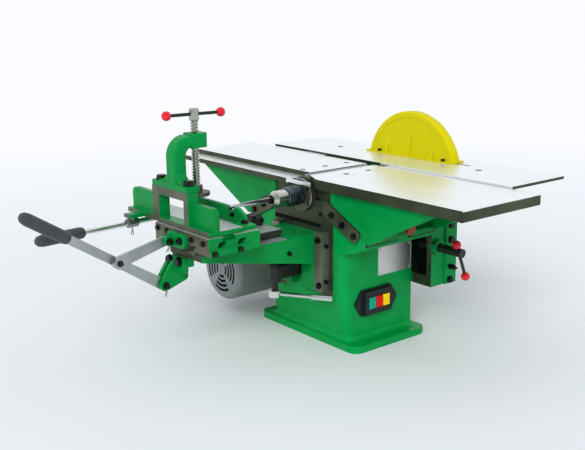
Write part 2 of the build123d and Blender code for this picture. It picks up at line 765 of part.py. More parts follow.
def saw_nut():
    """Flange nut that clamps the blade against the collar of the shaft."""
    low = BLADE_Y + BLADE_THICK
    nut = SPINDLE * (Pos(0, 0, low + 10) * extrude(RegularPolygon(18, 6, major_radius=False), 14))
    return nut + tube(SPINDLE, COLLAR_RADIUS, SHAFT, low, low + 11) - disc(SPINDLE, SHAFT, low - 1, low + 40)


def chuck_y():
    sleeve = HEAD_FRONT - CAP_THICK - CHUCK_GAP
    return sleeve, sleeve - SLEEVE_LENGTH, sleeve - SLEEVE_LENGTH - NOSE_LENGTH


def chuck_sleeve():
    back, middle, _ = chuck_y()
    profile = [(9, back), (SLEEVE_RADIUS - 2, back), (SLEEVE_RADIUS, back - 2), (SLEEVE_RADIUS, middle + 2)]
    profile += [(SLEEVE_RADIUS - 2, middle), (9, middle)]
    return turned(profile, SPINDLE)


def chuck_body():
    _, middle, front = chuck_y()
    profile = [(9, middle), (NOSE_RADIUS, middle), (NOSE_RADIUS, front + 9), (NOSE_RADIUS - 7, front), (9, front)]
    return turned(profile, SPINDLE)


def chuck_jaws():
    _, middle, front = chuck_y()
    jaws = []
    for jaw in range(3):
        wedge = block((-3, 3), (BIT_RADIUS, 8.9), (front - 5, front + 25))
        wedge -= Pos(0, 0, front + 10) * Cylinder(BIT_RADIUS, 60)
        jaws.append(SPINDLE * (Rot(0, 0, jaw * 120) * (wedge & Pos(0, 0, front + 10) * Cylinder(9, 60))))
    return jaws


def mortise_bit():
    front = chuck_y()[2]
    bit = disc(SPINDLE, BIT_RADIUS, front - BIT_LENGTH, front + 24)
    for side in (1, -1):
        flute = block((1.2, 8), (0.6, 8), (front - BIT_LENGTH - 1, front - BIT_LENGTH + 70))
        bit -= SPINDLE * (Rot(0, 0, 20 + 90 * (1 - side)) * flute)
    return bit


# Planer tables
def adjuster_line(start, end):
    """Points along the infeed adjusting screw, measured from the end of the frame's head."""
    run = Vector(cos(WAY_ANGLE), 0, -sin(WAY_ANGLE))
    seat = Vector(HEAD_END, ADJUSTER_Y, way(HEAD_END) + ADJUSTER_RISE)
    return tuple(seat + run * start), tuple(seat + run * end)


def adjuster_post(gap, travel):
    """Upright nut of the adjusting screw, grown by a gap and the travel of the table."""
    x = (HEAD_END - NUT_BACK - gap - travel, HEAD_END - NUT_BACK + NUT_LENGTH + gap)
    half = NUT_HALF + gap
    return block(x, (ADJUSTER_Y - half, ADJUSTER_Y + half), (way(x[1]) - 2, way(x[0]) + ADJUSTER_RISE))


def table_foot(side):
    """Hollow wedge under a table: inclined slide plate with two upright webs."""
    rise = WAY_PLATE / cos(WAY_ANGLE)
    lift = SLIDE_GAP / cos(WAY_ANGLE)
    inner, outer = HEAD_TOP_HALF + 8, HEAD_END + 12
    under = TABLE_TOP - TABLE_EDGE + 1
    plate = [(inner, way(inner) + lift), (outer, way(outer) + lift), (outer, way(outer) + lift + rise)]
    plate += [(inner, way(inner) + lift + rise)]
    start = CUT_RADIUS + MOUTH_GAP + 2
    web = [(start, way(start) + lift + 2), (outer - 2, way(outer - 2) + lift + 2)]
    web += [(outer + 190, under), (start, under)]
    face = HEAD_FRONT + SLIDE_GAP
    parts = prism("y", plate, face, HEAD_BACK - 10, {0: 3, 1: 3, 2: 3, 3: 3})
    for low in (face, HEAD_BACK - 24):
        parts += prism("y", web, low, low + 10)
    x = outer - 20
    parts += block((x, x + 10), (face, HEAD_BACK - 14), (way(x) + 8, under))
    parts += table_bead(face, under)
    return parts if side > 0 else mirror(parts, about=Plane.YZ)


def table_bead(face, under):
    """Raised rim on the front web, upright beside the mouth and then along the slide."""
    lift, top = BEAD_LIFT / cos(WAY_ANGLE), (BEAD_LIFT + BEAD_WIDE) / cos(WAY_ANGLE)
    end = HEAD_END + 10
    shape = [(BEAD_X, under), (BEAD_X, way(BEAD_X) + lift), (end, way(end) + lift), (end, way(end) + top)]
    shape += [(BEAD_X + BEAD_WIDE, way(BEAD_X + BEAD_WIDE) + top), (BEAD_X + BEAD_WIDE, under)]
    rim = prism("y", shape, face - 4, face + 1, {1: 8, 2: 3, 3: 3, 4: 4})
    return chamfer(rim.faces().sort_by(Axis.Y)[0].edges(), 1.2)


def mouth():
    """Round clearance about the cutter that shapes both table lips."""
    return disc(SPINDLE, CUT_RADIUS + MOUTH_GAP, PLANER_NEAR - 1, PLANER_FAR + 1)


def lip_room(side):
    inner, outer = sorted((side * 2, side * LIP_REACH))
    return ((inner, outer), (PLANER_NEAR + RABBET_WIDTH, PLANER_FAR - 22), (TABLE_TOP - LIP_THICK, TABLE_TOP))


def infeed_table():
    top = block((0, TABLE_REACH), (PLANER_NEAR, PLANER_FAR), (TABLE_TOP - TABLE_EDGE, TABLE_TOP))
    table = top + table_foot(1)
    corner = [(-1, PLANER_NEAR - 1), (60, PLANER_NEAR - 1), (60, PLANER_NEAR), (8, PLANER_NEAR + 24), (-1, PLANER_NEAR + 24)]
    table -= prism("z", corner, TABLE_TOP - TABLE_EDGE - 20, TABLE_TOP + 1)
    table -= block((0, 44), (PLANER_FAR - 12, PLANER_FAR + 1), (TABLE_TOP - TABLE_EDGE - 1, TABLE_TOP + 1))
    table -= mouth()
    table -= block(*lip_room(1))
    table -= adjuster_post(2, INFEED_TRAVEL)
    table -= rod(*adjuster_line(-NUT_BACK, KNOB_OUT), ADJUSTER + RUNNING)
    notch = KNOB_RADIUS + 3
    low = way(HEAD_END + 20)
    table -= block((HEAD_END + 3, HEAD_END + 20), (ADJUSTER_Y - notch, ADJUSTER_Y + notch), (low, low + ADJUSTER_RISE))
    return chamfer(table.edges().filter_by_position(Axis.X, TABLE_REACH, TABLE_REACH).filter_by(Axis.Y), 1.5)


def outfeed_table():
    top = block((-TABLE_REACH, 0), (PLANER_NEAR, PLANER_FAR), (TABLE_TOP - TABLE_EDGE, TABLE_TOP))
    table = top + table_foot(-1)
    ledge = (PLANER_NEAR - 1, PLANER_NEAR + RABBET_WIDTH)
    table -= block((-TABLE_REACH - 1, 1), ledge, (TABLE_TOP - RABBET_DEPTH, TABLE_TOP + 1))
    for low, high in ((-TABLE_REACH - 1, -251), (-172, 1)):
        table -= block((low, high), (PLANER_FAR - 12, PLANER_FAR + 1), (TABLE_TOP - TABLE_EDGE - 1, TABLE_TOP + 1))
    table -= mouth()
    table -= block(*lip_room(-1))
    low = TABLE_TOP - RABBET_DEPTH
    ledge = (PLANER_NEAR, PLANER_NEAR + LEDGE_DEEP)
    table += block((-CUT_RADIUS - 6, LEDGE_REACH), ledge, (low - LEDGE_TALL, low))
    return chamfer(table.edges().filter_by_position(Axis.X, -TABLE_REACH, -TABLE_REACH).filter_by(Axis.Y), 1.5)


def table_lip(side):
    return block(*lip_room(side)) - mouth()


def adjuster_screw():
    return rod(*adjuster_line(-NUT_BACK - INFEED_TRAVEL - 10, KNOB_OUT + KNOB_LONG - 4), ADJUSTER)


def adjuster_knob():
    knob = rod(*adjuster_line(KNOB_OUT, KNOB_OUT + KNOB_LONG), KNOB_RADIUS)
    return knob - adjuster_screw()


# Saw table and its lift
def saw_table():
    y = (SAW_NEAR, SAW_NEAR + SAW_WIDTH)
    plate = block((SAW_LOW_X, SAW_HIGH_X), y, (SAW_TOP - SAW_PLATE, SAW_TOP))
    plate = fillet(plate.edges().filter_by(Axis.Z), 4)
    middle = BLADE_Y + BLADE_THICK / 2
    cut = (middle - SLOT_WIDTH / 2, middle + SLOT_WIDTH / 2)
    return plate - block((SLOT_LOW_X, SLOT_HIGH_X), cut, (SAW_TOP - SAW_PLATE - 1, SAW_TOP + 1))


def saw_table_bracket():
    """Post in the lift box, cross beam over the spindle and arms under the saw table."""
    under = SAW_TOP - SAW_PLATE
    near, far = post_y()
    low = BOX_BOTTOM + 12
    part = block((POST_LOW_X, POST_LOW_X + POST_WIDTH), (near, far), (low, under))
    beam = (far + PIN_GAP + BOX_WALL / 2 + 4, far + PIN_GAP + BOX_WALL / 2 + 22)
    part += block((SAW_LOW_X + 90, SAW_HIGH_X - 100), beam, (under - 22, under))
    part += block((POST_LOW_X, POST_LOW_X + POST_WIDTH), (near, beam[1]), (under - 60, under))
    end = SAW_NEAR + SAW_WIDTH - 10
    for x in (SAW_LOW_X + 90, SAW_LOW_X + 200, SLOT_HIGH_X + 16, SAW_HIGH_X - 112):
        arm = [(beam[0], under - 22), (beam[1] + 12, under - 22), (end, under - 10), (end, under), (beam[0], under)]
        part += prism("x", arm, x, x + 12)
    return part + lift_rack()


def tooth_shape(pitch):
    """Half widths of a rack tooth at its tip and at its root."""
    return pitch * 0.2 - 0.36 * MODULE * 0.8, pitch * 0.2 + 0.36 * MODULE * 1.2


def lift_rack():
    pitch = pi * MODULE
    line = LIFT_Y + MODULE * PINION_TEETH / 2
    tip, root = line - MODULE * 0.8, line + MODULE * 1.2
    thin, thick = tooth_shape(pitch)
    low = BOX_BOTTOM + 14
    count = 25
    points = [(line + 4, low), (root, low)]
    first = LIFT_Z - pitch * 16.5
    for tooth in range(count):
        z = first + tooth * pitch
        if z < low + 3:
            continue
        points += [(root, z - thick), (tip, z - thin), (tip, z + thin), (root, z + thick)]
    top = first + count * pitch
    points += [(root, top), (line + 4, top)]
    middle = POST_LOW_X + POST_WIDTH / 2
    return prism("x", points, middle - 9, middle + 9)


def lift_shaft():
    inside = POST_LOW_X - PIN_GAP
    shaft = rod((inside - 8, LIFT_Y, LIFT_Z), (POST_LOW_X + POST_WIDTH, LIFT_Y, LIFT_Z), LIFT_NECK)
    shaft += rod((POST_LOW_X + POST_WIDTH, LIFT_Y, LIFT_Z), (LIFT_END, LIFT_Y, LIFT_Z), LIFT_SHAFT)
    pitch_radius = MODULE * PINION_TEETH / 2
    thin, thick = tooth_shape(pi * MODULE)
    tip, root = pitch_radius + MODULE * 0.8, pitch_radius - MODULE * 1.2
    middle = POST_LOW_X + POST_WIDTH / 2
    gear = Cylinder(root, 18)
    for tooth in range(PINION_TEETH):
        shape = outline([(root - 1, -thick), (tip, -thin), (tip, thin), (root - 1, thick)])
        gear += Rot(0, 0, tooth * 360 / PINION_TEETH) * (Pos(0, 0, -9) * extrude(shape, 18))
    axis = Plane(origin=(middle, LIFT_Y, LIFT_Z), x_dir=(0, 1, 0), z_dir=(1, 0, 0))
    shaft += axis * gear
    ends = lift_bar_ends()
    return shaft - rod(*ends, BAR_RADIUS + PIN_GAP)


def lift_bar_ends():
    """Ends of the sliding lift bar, which hangs low in its hole."""
    x = LIFT_END - 11
    up = (0, -sin(LIFT_BAR_TILT), cos(LIFT_BAR_TILT))
    high = LIFT_BAR_LENGTH / 2 - LIFT_BAR_DROP
    low = -LIFT_BAR_LENGTH / 2 - LIFT_BAR_DROP
    return tuple((x, LIFT_Y + up[1] * s, LIFT_Z + up[2] * s) for s in (low, high))


def lift_bar():
    return rod(*lift_bar_ends(), BAR_RADIUS)


def ball_pair(ends, bar):
    return [Pos(*end) * Sphere(BALL_RADIUS) - bar for end in ends]


def lift_balls():
    return ball_pair(lift_bar_ends(), lift_bar())


def saw_guard():
    """Hollow half-round hood over the saw blade with a foot flange and three ribs."""
    middle = BLADE_Y + BLADE_THICK / 2
    low, high = middle - GUARD_WIDTH / 2, middle + GUARD_WIDTH / 2
    hub = Plane(origin=(GUARD_X, 0, SAW_TOP - GUARD_DROP), x_dir=(1, 0, 0), z_dir=(0, 1, 0))
    hood = fillet(disc(hub, GUARD_RADIUS, low, high).edges().filter_by(GeomType.CIRCLE), GUARD_ROUND)
    dish = disc(hub, GUARD_RADIUS - GUARD_RIM, low - 1, low + GUARD_DISH)
    hood -= dish
    hood -= disc(hub, GUARD_RADIUS - GUARD_WALL, low + GUARD_WALL, high - GUARD_WALL)
    half = sqrt(GUARD_RADIUS**2 - GUARD_DROP**2)
    flange = block((GUARD_X - half, GUARD_X + half), (low - 9, high + 9), (SAW_TOP, SAW_TOP + 4))
    room = (GUARD_X - half + GUARD_WALL, GUARD_X + half - GUARD_WALL)
    flange -= block(room, (low + GUARD_WALL, high - GUARD_WALL), (SAW_TOP - 1, SAW_TOP + 9))
    hood += flange
    for x, tall in ((GUARD_X - RIB_PITCH, RIB_SIDE), (GUARD_X, RIB_TOP), (GUARD_X + RIB_PITCH, RIB_SIDE)):
        top = SAW_TOP + tall
        rib = [(low - 8, SAW_TOP + 3), (low + 2, SAW_TOP + 3), (low + 2, top), (low + 0.5, top)]
        hood += prism("x", rib, x - 3.5, x + 3.5)
    below = block((-400, 400), (low - 50, high + 50), (SAW_TOP - 400, SAW_TOP))
    return hood - below


# Mortiser knee
def knee():
    side = [(KNEE_BACK, KNEE_HEEL), (KNEE_FRONT, KNEE_TOE), (KNEE_FRONT, KNEE_TOP), (KNEE_BACK, KNEE_TOP)]
    body = prism("x", side, -KNEE_HALF, KNEE_HALF)
    wide = KNEE_HALF + DOVETAIL_FLARE * (KNEE_BACK - HEAD_FRONT + 0.4) / (KNEE_BACK - HEAD_FRONT)
    slide = [(-KNEE_HALF, KNEE_BACK), (KNEE_HALF, KNEE_BACK), (wide, HEAD_FRONT - 0.4), (-wide, HEAD_FRONT - 0.4)]
    body += prism("z", slide, SLIDE_FOOT, KNEE_TOP)
    room = (-KNEE_HALF + KNEE_WALL, KNEE_HALF - KNEE_WALL)
    body -= block(room, (KNEE_FRONT + 14, KNEE_BACK - 4), (SLIDE_FOOT - 20, KNEE_TOP - KNEE_WALL))
    slot = (-ARM_HALF - 4, ARM_HALF + 4)
    body -= block(slot, (KNEE_BACK - 6, HEAD_FRONT + 1), (SLIDE_FOOT - 1, KNEE_TOP - 20))
    rail = [(-RAIL_FOOT, KNEE_TOP - 1), (RAIL_FOOT, KNEE_TOP - 1), (RAIL_FOOT, KNEE_TOP)]
    rail += [(RAIL_HEAD, KNEE_TOP + RAIL_TALL), (-RAIL_HEAD, KNEE_TOP + RAIL_TALL), (-RAIL_FOOT, KNEE_TOP)]
    body += prism("y", rail, RAIL_FRONT, RAIL_END)
    nut = Plane(origin=(0, SCREW_Y, KNEE_TOP))
    body += disc(nut, KNEE_NUT, -NUT_TALL, -1)
    body -= disc(nut, SCREW_RADIUS + PIN_GAP, -NUT_TALL - 1, 1)
    body += block(FORK_SPAN, (KNEE_FRONT, KNEE_FRONT + 14), (KNEE_TOE - APRON, KNEE_TOE + 6))
    oil = (KNEE_BACK - 68, KNEE_TOP - 32)
    body -= rod((KNEE_HALF - KNEE_WALL - 2, *oil), (KNEE_HALF + 1, *oil), 5)
    return body


def elevating_screw():
    profile = [
        (0, HANDLE_Z - 10),
        (SCREW_RADIUS - 1, HANDLE_Z - 10),
        (SCREW_RADIUS - 1, ARM_LOW - 8),
        (SCREW_RADIUS + 5, ARM_LOW - 8),
        (SCREW_RADIUS + 5, ARM_LOW - 0.3),
        (SCREW_RADIUS, ARM_LOW - 0.3),
        (SCREW_RADIUS, ARM_HIGH + 0.3),
        (SCREW_RADIUS + 4, ARM_HIGH + 0.3),
        (SCREW_RADIUS + 4, ARM_HIGH + 5),
        (SCREW_RADIUS, ARM_HIGH + 5),
        (SCREW_RADIUS, KNEE_TOP - 4),
        (0, KNEE_TOP - 4),
    ]
    return turned(profile, Plane(origin=(0, SCREW_Y, 0)))


def ratchet_handle():
    reach = (cos(HANDLE_ANGLE), sin(HANDLE_ANGLE))
    hub = Pos(0, SCREW_Y, HANDLE_Z) * Cylinder(HANDLE_HUB, HANDLE_HUB_TALL)
    tube = HANDLE_LENGTH - HANDLE_TUBE_LENGTH

    def at(distance):
        return (reach[0] * distance, SCREW_Y + reach[1] * distance, HANDLE_Z)

    arm = hub + rod(at(HANDLE_HUB - 6), at(tube + 8), HANDLE_ROD) + rod(at(tube), at(HANDLE_LENGTH), HANDLE_TUBE)
    return arm - Pos(0, SCREW_Y, HANDLE_Z) * Cylinder(SCREW_RADIUS - 1 + RUNNING, 30)


def eye_plate(points, radii, low, high):
    """Flat bar hulled round two or more eyes in the YZ plane."""
    solid = None
    for (y, z), radius in zip(points, radii):
        eye = rod((low, y, z), (high, y, z), radius)
        solid = eye if solid is None else solid + eye
    for (a, b), (ra, rb) in zip(zip(points, points[1:]), zip(radii, radii[1:])):
        dy, dz = b[0] - a[0], b[1] - a[1]
        length = hypot(dy, dz)
        ny, nz = -dz / length, dy / length
        bar = [(a[0] + ny * ra, a[1] + nz * ra), (a[0] - ny * ra, a[1] - nz * ra)]
        bar += [(b[0] - ny * rb, b[1] - nz * rb), (b[0] + ny * rb, b[1] + nz * rb)]
        solid += prism("x", bar, low, high)
    return solid


def lever_fork():
    """Bracket on the front of the knee whose two cheeks hold the plunge lever."""
    plate = (KNEE_FRONT - 11, KNEE_FRONT)
    face = [(x, z) for x, z in zip(FORK_SPAN, (KNEE_TOE - 33, KNEE_TOE - 33))]
    face += [(x, z) for x, z in zip(FORK_SPAN[::-1], (KNEE_TOE - 2, KNEE_TOE - 2))]
    part = prism("y", face, *plate, {0: 6, 1: 6, 2: 12, 3: 12})
    gap = LEVER_THICK / 2 + 1
    root = (KNEE_FRONT - 9, KNEE_TOE - 20)
    heel = (KNEE_FRONT + 10, KNEE_TOE - 47)
    for low in (LEVER_X - gap - 8, LEVER_X + gap):
        behind = block((low - 1, low + 9), (KNEE_FRONT, KNEE_FRONT + 30), (KNEE_TOE - APRON - 0.5, KNEE_TOE + 40))
        cheek = eye_plate([root, LEVER_PIN, heel], [11, 12, 10], low, low + 8)
        cheek += eye_plate([heel, root], [10, 11], low, low + 8) + prism("x", [root, heel, LEVER_PIN], low, low + 8)
        part += cheek - behind
    return part + rod((LEVER_X - gap - 10, *LEVER_PIN), (LEVER_X + gap + 10, *LEVER_PIN), PIN)


# Saddle
def saddle():
    body = block((SADDLE_LOW_X, SADDLE_HIGH_X), (SADDLE_FRONT, SADDLE_BACK), (SADDLE_FOOT, SADDLE_TOP))
    gap = PIN_GAP
    top = KNEE_TOP + RAIL_TALL
    right = RAIL_HEAD + gap + GIB + 1
    groove = [
        (-flank(SADDLE_FOOT - 1) - gap, SADDLE_FOOT - 1),
        (flank(SADDLE_FOOT - 1) + gap + GIB + 1, SADDLE_FOOT - 1),
        (right, top + gap),
        (-RAIL_HEAD - gap, top + gap),
    ]
    body -= prism("y", groove, SADDLE_FRONT - 1, SADDLE_BACK + 1)
    body -= prism("x", cross_section(gap), SADDLE_LOW_X - 1, SADDLE_HIGH_X + 1)
    for y in (SADDLE_FRONT + 32, SADDLE_FRONT + 80):
        low, high = SADDLE_FOOT + 14, SADDLE_TOP - 10
        window = [(y - 12, low), (y + 6, low), (y + 12, high), (y - 6, high)]
        body -= prism("x", window, SADDLE_HIGH_X - 26, SADDLE_HIGH_X + 1, {0: 2, 1: 2, 2: 2, 3: 2})
    strip = (SADDLE_HIGH_X - 1, SADDLE_HIGH_X + STRIP_WIDE)
    body += block(strip, (SADDLE_FRONT, SADDLE_BACK - 25), (SADDLE_FOOT, SADDLE_FOOT + STRIP_TALL))
    px, py = TRAVERSE_PIVOT
    ear = (px - 14, SADDLE_LOW_X + 2)
    body += block(ear, (py - 13, py + 13), (SADDLE_FOOT + 6, TRAVERSE_Z - 7))
    return body + rod((px, py, TRAVERSE_Z - 8), (px, py, TRAVERSE_Z + 9), PIN)


def flank(z):
    """Half width of the knee rail at a height."""
    return RAIL_FOOT + (RAIL_HEAD - RAIL_FOOT) * (z - KNEE_TOP) / RAIL_TALL


def cross_section(gap):
    """Section of the cross dovetail between saddle and vise."""
    top, low = SADDLE_TOP + 1, SADDLE_TOP - CROSS_DEEP - gap
    wide = CROSS_HALF + gap
    return [(CROSS_Y - wide, top), (CROSS_Y - wide - 5, low), (CROSS_Y + wide + 5, low), (CROSS_Y + wide, top)]


def saddle_gib():
    low, high = SADDLE_FOOT - 11 + 4, KNEE_TOP + RAIL_TALL - 0.6
    strip = [(flank(low) + PIN_GAP, low), (flank(low) + PIN_GAP + GIB, low)]
    strip += [(flank(high) + PIN_GAP + GIB, high), (flank(high) + PIN_GAP, high)]
    return prism("y", strip, SADDLE_FRONT + 1, SADDLE_BACK - 1)


def link_lug():
    """Forked lug on the front of the saddle for the plunge link."""
    gap = LEVER_THICK / 2 + 1
    x = LINK_X
    z = SADDLE_FOOT + 13
    low, high = SADDLE_FOOT + 1, SADDLE_FOOT + 31
    face = [(x - 16, low), (x + 50, low), (x + 50, high), (x - 16, high)]
    part = prism("y", face, SADDLE_FRONT - 9, SADDLE_FRONT, {0: 6, 1: 14, 2: 14, 3: 6})
    for low in (x - gap - 7, x + gap):
        cheek = eye_plate([(SADDLE_FRONT - 4, z), LINK_PIN], [10, 10], low, low + 7)
        part += cheek - block((low - 1, low + 8), (SADDLE_FRONT, SADDLE_FRONT + 30), (z - 40, z + 40))
    return part + rod((x - gap - 9, *LINK_PIN), (x + gap + 9, *LINK_PIN), PIN)


def work_stop():
    """Angle plate bolted at the rear edge of the saddle."""
    end = STOP_LOW_X + STOP_LENGTH
    y = (SADDLE_BACK - STOP_THICK / 2, SADDLE_BACK + STOP_THICK / 2)
    top = SADDLE_TOP + STOP_TALL
    side = [(STOP_LOW_X, SADDLE_TOP), (end, SADDLE_TOP), (end, SADDLE_TOP + STOP_THICK + 4)]
    side += [(end - 6, top - 10), (end - STOP_SLOPE, top), (STOP_LOW_X, top)]
    plate = prism("y", side, *y, {3: 4, 4: 8, 5: 8})
    foot = (y[1] - STOP_FOOT_DEEP, y[1])
    shelf = block((end - 12, end - 12 + STOP_FOOT), foot, (SADDLE_TOP, SADDLE_TOP + STOP_THICK))
    plate += fillet(shelf.edges().filter_by(Axis.Z), 5)
    return plate - disc(SPINDLE, BIT_RADIUS + BIT_CLEAR, y[0] - 1, y[1] + 1)


# Vise
def vise_fence():
    base = VISE_TOP
    part = block((VISE_LOW_X, VISE_HIGH_X), (VISE_FRONT, VISE_BACK), (SADDLE_TOP + SLIDE_GAP, base))
    part += prism("x", cross_section(0), SADDLE_LOW_X + 6, VISE_HIGH_X - 4)
    low, high = FENCE_SPAN
    part += block((low, high), (VISE_FRONT, WING_Y + WING_THICK), (base - 1, FENCE_TOP))
    hole = (WINDOW_X - WINDOW_WIDE / 2, WINDOW_X + WINDOW_WIDE / 2)
    part -= block(hole, (VISE_FRONT - 1, WING_Y + WING_THICK + 1), (base, base + WINDOW_TALL))
    left = [(VISE_LOW_X, base - 1), (low + 1, base - 1), (low + 1, WING_TOP), (VISE_LOW_X, WING_TOP)]
    part += prism("y", left, WING_Y, WING_Y + WING_THICK, {3: 14})
    right = [(high - 1, base - 1), (VISE_HIGH_X, base - 1), (VISE_HIGH_X, WING_TOP), (high - 1, WING_TOP)]
    part += prism("y", right, WING_Y, WING_Y + WING_THICK, {2: 14})
    cx, cy = COLLAR_AT
    part += block((cx - 12, cx + 12), (cy - 12, VISE_FRONT + 1), (base - 8, base))
    return part + rod((cx, cy, TRAVERSE_Z + 9), (cx, cy, base - 1), PIN)


def clamp_arch():
    """Curved arm over the work that carries the clamp screw."""
    low, high = FENCE_SPAN
    foot = FENCE_TOP + ARCH_FOOT
    part = block((low + 2, high - 2), (VISE_FRONT, VISE_FRONT + ARCH_DEEP), (FENCE_TOP, foot))
    x = (WINDOW_X - ARCH_HALF, WINDOW_X + ARCH_HALF)
    back = VISE_FRONT + 1
    tip = CLAMP_Y + ARCH_HALF
    curve = [
        (back, FENCE_TOP + 2),
        (back + ARCH_DEEP, FENCE_TOP + 2),
        (back + ARCH_DEEP, ARCH_NOSE_LOW),
        (tip, ARCH_NOSE_LOW),
        (tip, ARCH_NOSE_HIGH),
        (back, ARCH_NOSE_HIGH),
    ]
    arm = prism("x", curve, *x, {2: 18, 5: 42})
    arm = fillet(arm.faces().filter_by(Axis.X).edges(), 6)
    nose = block(x, (CLAMP_Y - ARCH_HALF, tip + 2), (ARCH_NOSE_LOW - 3, ARCH_NOSE_HIGH + 3))
    flare = [
        (x[0] - ARCH_FLARE, foot - 1),
        (x[1] + ARCH_FLARE, foot - 1),
        (x[1] + ARCH_FLARE, foot + 3),
        (x[1] - 4, foot + 3),
        (x[1] - 4, foot + ARCH_FLARE + 16),
        (x[0] + 4, foot + ARCH_FLARE + 16),
        (x[0] + 4, foot + 3),
        (x[0] - ARCH_FLARE, foot + 3),
    ]
    part += prism("y", flare, back + 4, back + ARCH_DEEP - 4, {3: ARCH_FLARE, 6: ARCH_FLARE})
    part += arm + chamfer(nose.edges().filter_by(Axis.Z), 3)
    return part - Pos(WINDOW_X, CLAMP_Y, ARCH_NOSE_LOW) * Cylinder(CLAMP_SCREW + PIN_GAP, 2 * ARCH_THROAT)


def clamp_shoe():
    boss = SHOE_Z + SHOE_THICK + 14
    profile = [(0, SHOE_Z), (SHOE_RADIUS - 1.5, SHOE_Z), (SHOE_RADIUS, SHOE_Z + 1.5), (SHOE_RADIUS, SHOE_Z + SHOE_THICK)]
    profile += [(13, SHOE_Z + SHOE_THICK + 1), (13, boss), (CLAMP_SCREW - 2 + RUNNING, boss)]
    profile += [(CLAMP_SCREW - 2 + RUNNING, SHOE_Z + SHOE_THICK), (0, SHOE_Z + SHOE_THICK)]
    return turned(profile, Plane(origin=(WINDOW_X, CLAMP_Y, 0)))


def clamp_screw():
    neck = SHOE_Z + SHOE_THICK
    boss = neck + 14
    profile = [(0, neck + 0.4), (CLAMP_SCREW - 2, neck + 0.4), (CLAMP_SCREW - 2, boss + 0.4), (CLAMP_SCREW, boss + 0.4)]
    profile += [(CLAMP_SCREW, CLAMP_HEAD_Z - 13), (CLAMP_SCREW + 2, CLAMP_HEAD_Z - 13)]
    profile += [(CLAMP_SCREW + 2, CLAMP_HEAD_Z + 10), (CLAMP_SCREW, CLAMP_HEAD_Z + 12), (0, CLAMP_HEAD_Z + 12)]
    screw = turned(profile, Plane(origin=(WINDOW_X, CLAMP_Y, 0)))
    return screw - rod(*clamp_bar_ends(), BAR_RADIUS + PIN_GAP)


def clamp_bar_ends():
    dx = cos(CLAMP_BAR_TURN) * CLAMP_BAR_LENGTH / 2
    dy = sin(CLAMP_BAR_TURN) * CLAMP_BAR_LENGTH / 2
    return (WINDOW_X - dx, CLAMP_Y - dy, CLAMP_HEAD_Z), (WINDOW_X + dx, CLAMP_Y + dy, CLAMP_HEAD_Z)


def clamp_bar():
    return rod(*clamp_bar_ends(), BAR_RADIUS)


def clamp_balls():
    return ball_pair(clamp_bar_ends(), clamp_bar())


# Levers
def lever_at(distance):
    dy, dz = LEVER_JOINT[0] - LEVER_PIN[0], LEVER_JOINT[1] - LEVER_PIN[1]
    length = hypot(dy, dz)
    return LEVER_PIN[0] + dy / length * distance, LEVER_PIN[1] + dz / length * distance


def plunge_lever():
    low, high = LEVER_X - LEVER_THICK / 2, LEVER_X + LEVER_THICK / 2
    half = LEVER_WIDE / 2
    stem = LEVER_LENGTH - GRIP_LENGTH + 14
    bar = eye_plate([LEVER_PIN, LEVER_JOINT, lever_at(stem)], [12, half, half], low, high)
    bar += rod((LEVER_X, *lever_at(stem)), (LEVER_X, *lever_at(LEVER_LENGTH - 10)), 5)
    y, z = LEVER_JOINT
    outer = LINK_X + LEVER_THICK / 2
    bar += rod((high - 1, y, z), (outer + 5, y, z), PIN - 1)
    bar += rod((outer + 0.6, y, z), (outer + 6, y, z), 12)
    return bar - rod((low - 1, *LEVER_PIN), (high + 1, *LEVER_PIN), PIN + RUNNING)


def grip(start, end, bore):
    """Turned handle with rounded ends, bored for its rod."""
    run = Vector(*end) - Vector(*start)
    plane = Plane(origin=start, z_dir=run)
    long = run.length
    r = GRIP_RADIUS
    profile = [(0, 0), (r - 3, 0), (r - 1, 3), (r, 12), (r, long - 14), (r - 2, long - 5), (r - 6, long), (0, long)]
    return turned(profile, plane) - bore


def plunge_grip():
    start, end = lever_at(LEVER_LENGTH - GRIP_LENGTH), lever_at(LEVER_LENGTH)
    return grip((LEVER_X, *start), (LEVER_X, *end), plunge_lever())


def plunge_link():
    low, high = LINK_X - LEVER_THICK / 2, LINK_X + LEVER_THICK / 2
    bar = eye_plate([LINK_PIN, LEVER_JOINT], [9.5, 12], low, high)
    bar -= rod((low - 1, *LINK_PIN), (high + 1, *LINK_PIN), PIN + RUNNING)
    return bar - rod((low - 1, *LEVER_JOINT), (high + 1, *LEVER_JOINT), PIN - 1 + JOINT_PLAY)


def traverse_at(distance):
    dx, dy = COLLAR_AT[0] - TRAVERSE_PIVOT[0], COLLAR_AT[1] - TRAVERSE_PIVOT[1]
    length = hypot(dx, dy)
    x = TRAVERSE_PIVOT[0] + dx / length * distance
    return x, TRAVERSE_PIVOT[1] + dy / length * distance, TRAVERSE_Z


def traverse_lever():
    px, py = TRAVERSE_PIVOT
    hub = Pos(px, py, TRAVERSE_Z) * Cylinder(12, 2 * TRAVERSE_ROD + 1)
    bar = hub + rod(traverse_at(6), traverse_at(TRAVERSE_LENGTH - 10), TRAVERSE_ROD)
    return bar - Pos(px, py, TRAVERSE_Z) * Cylinder(PIN + RUNNING, 60)


def traverse_grip():
    start, end = traverse_at(TRAVERSE_LENGTH - GRIP_LENGTH), traverse_at(TRAVERSE_LENGTH)
    return grip(start, end, traverse_lever())


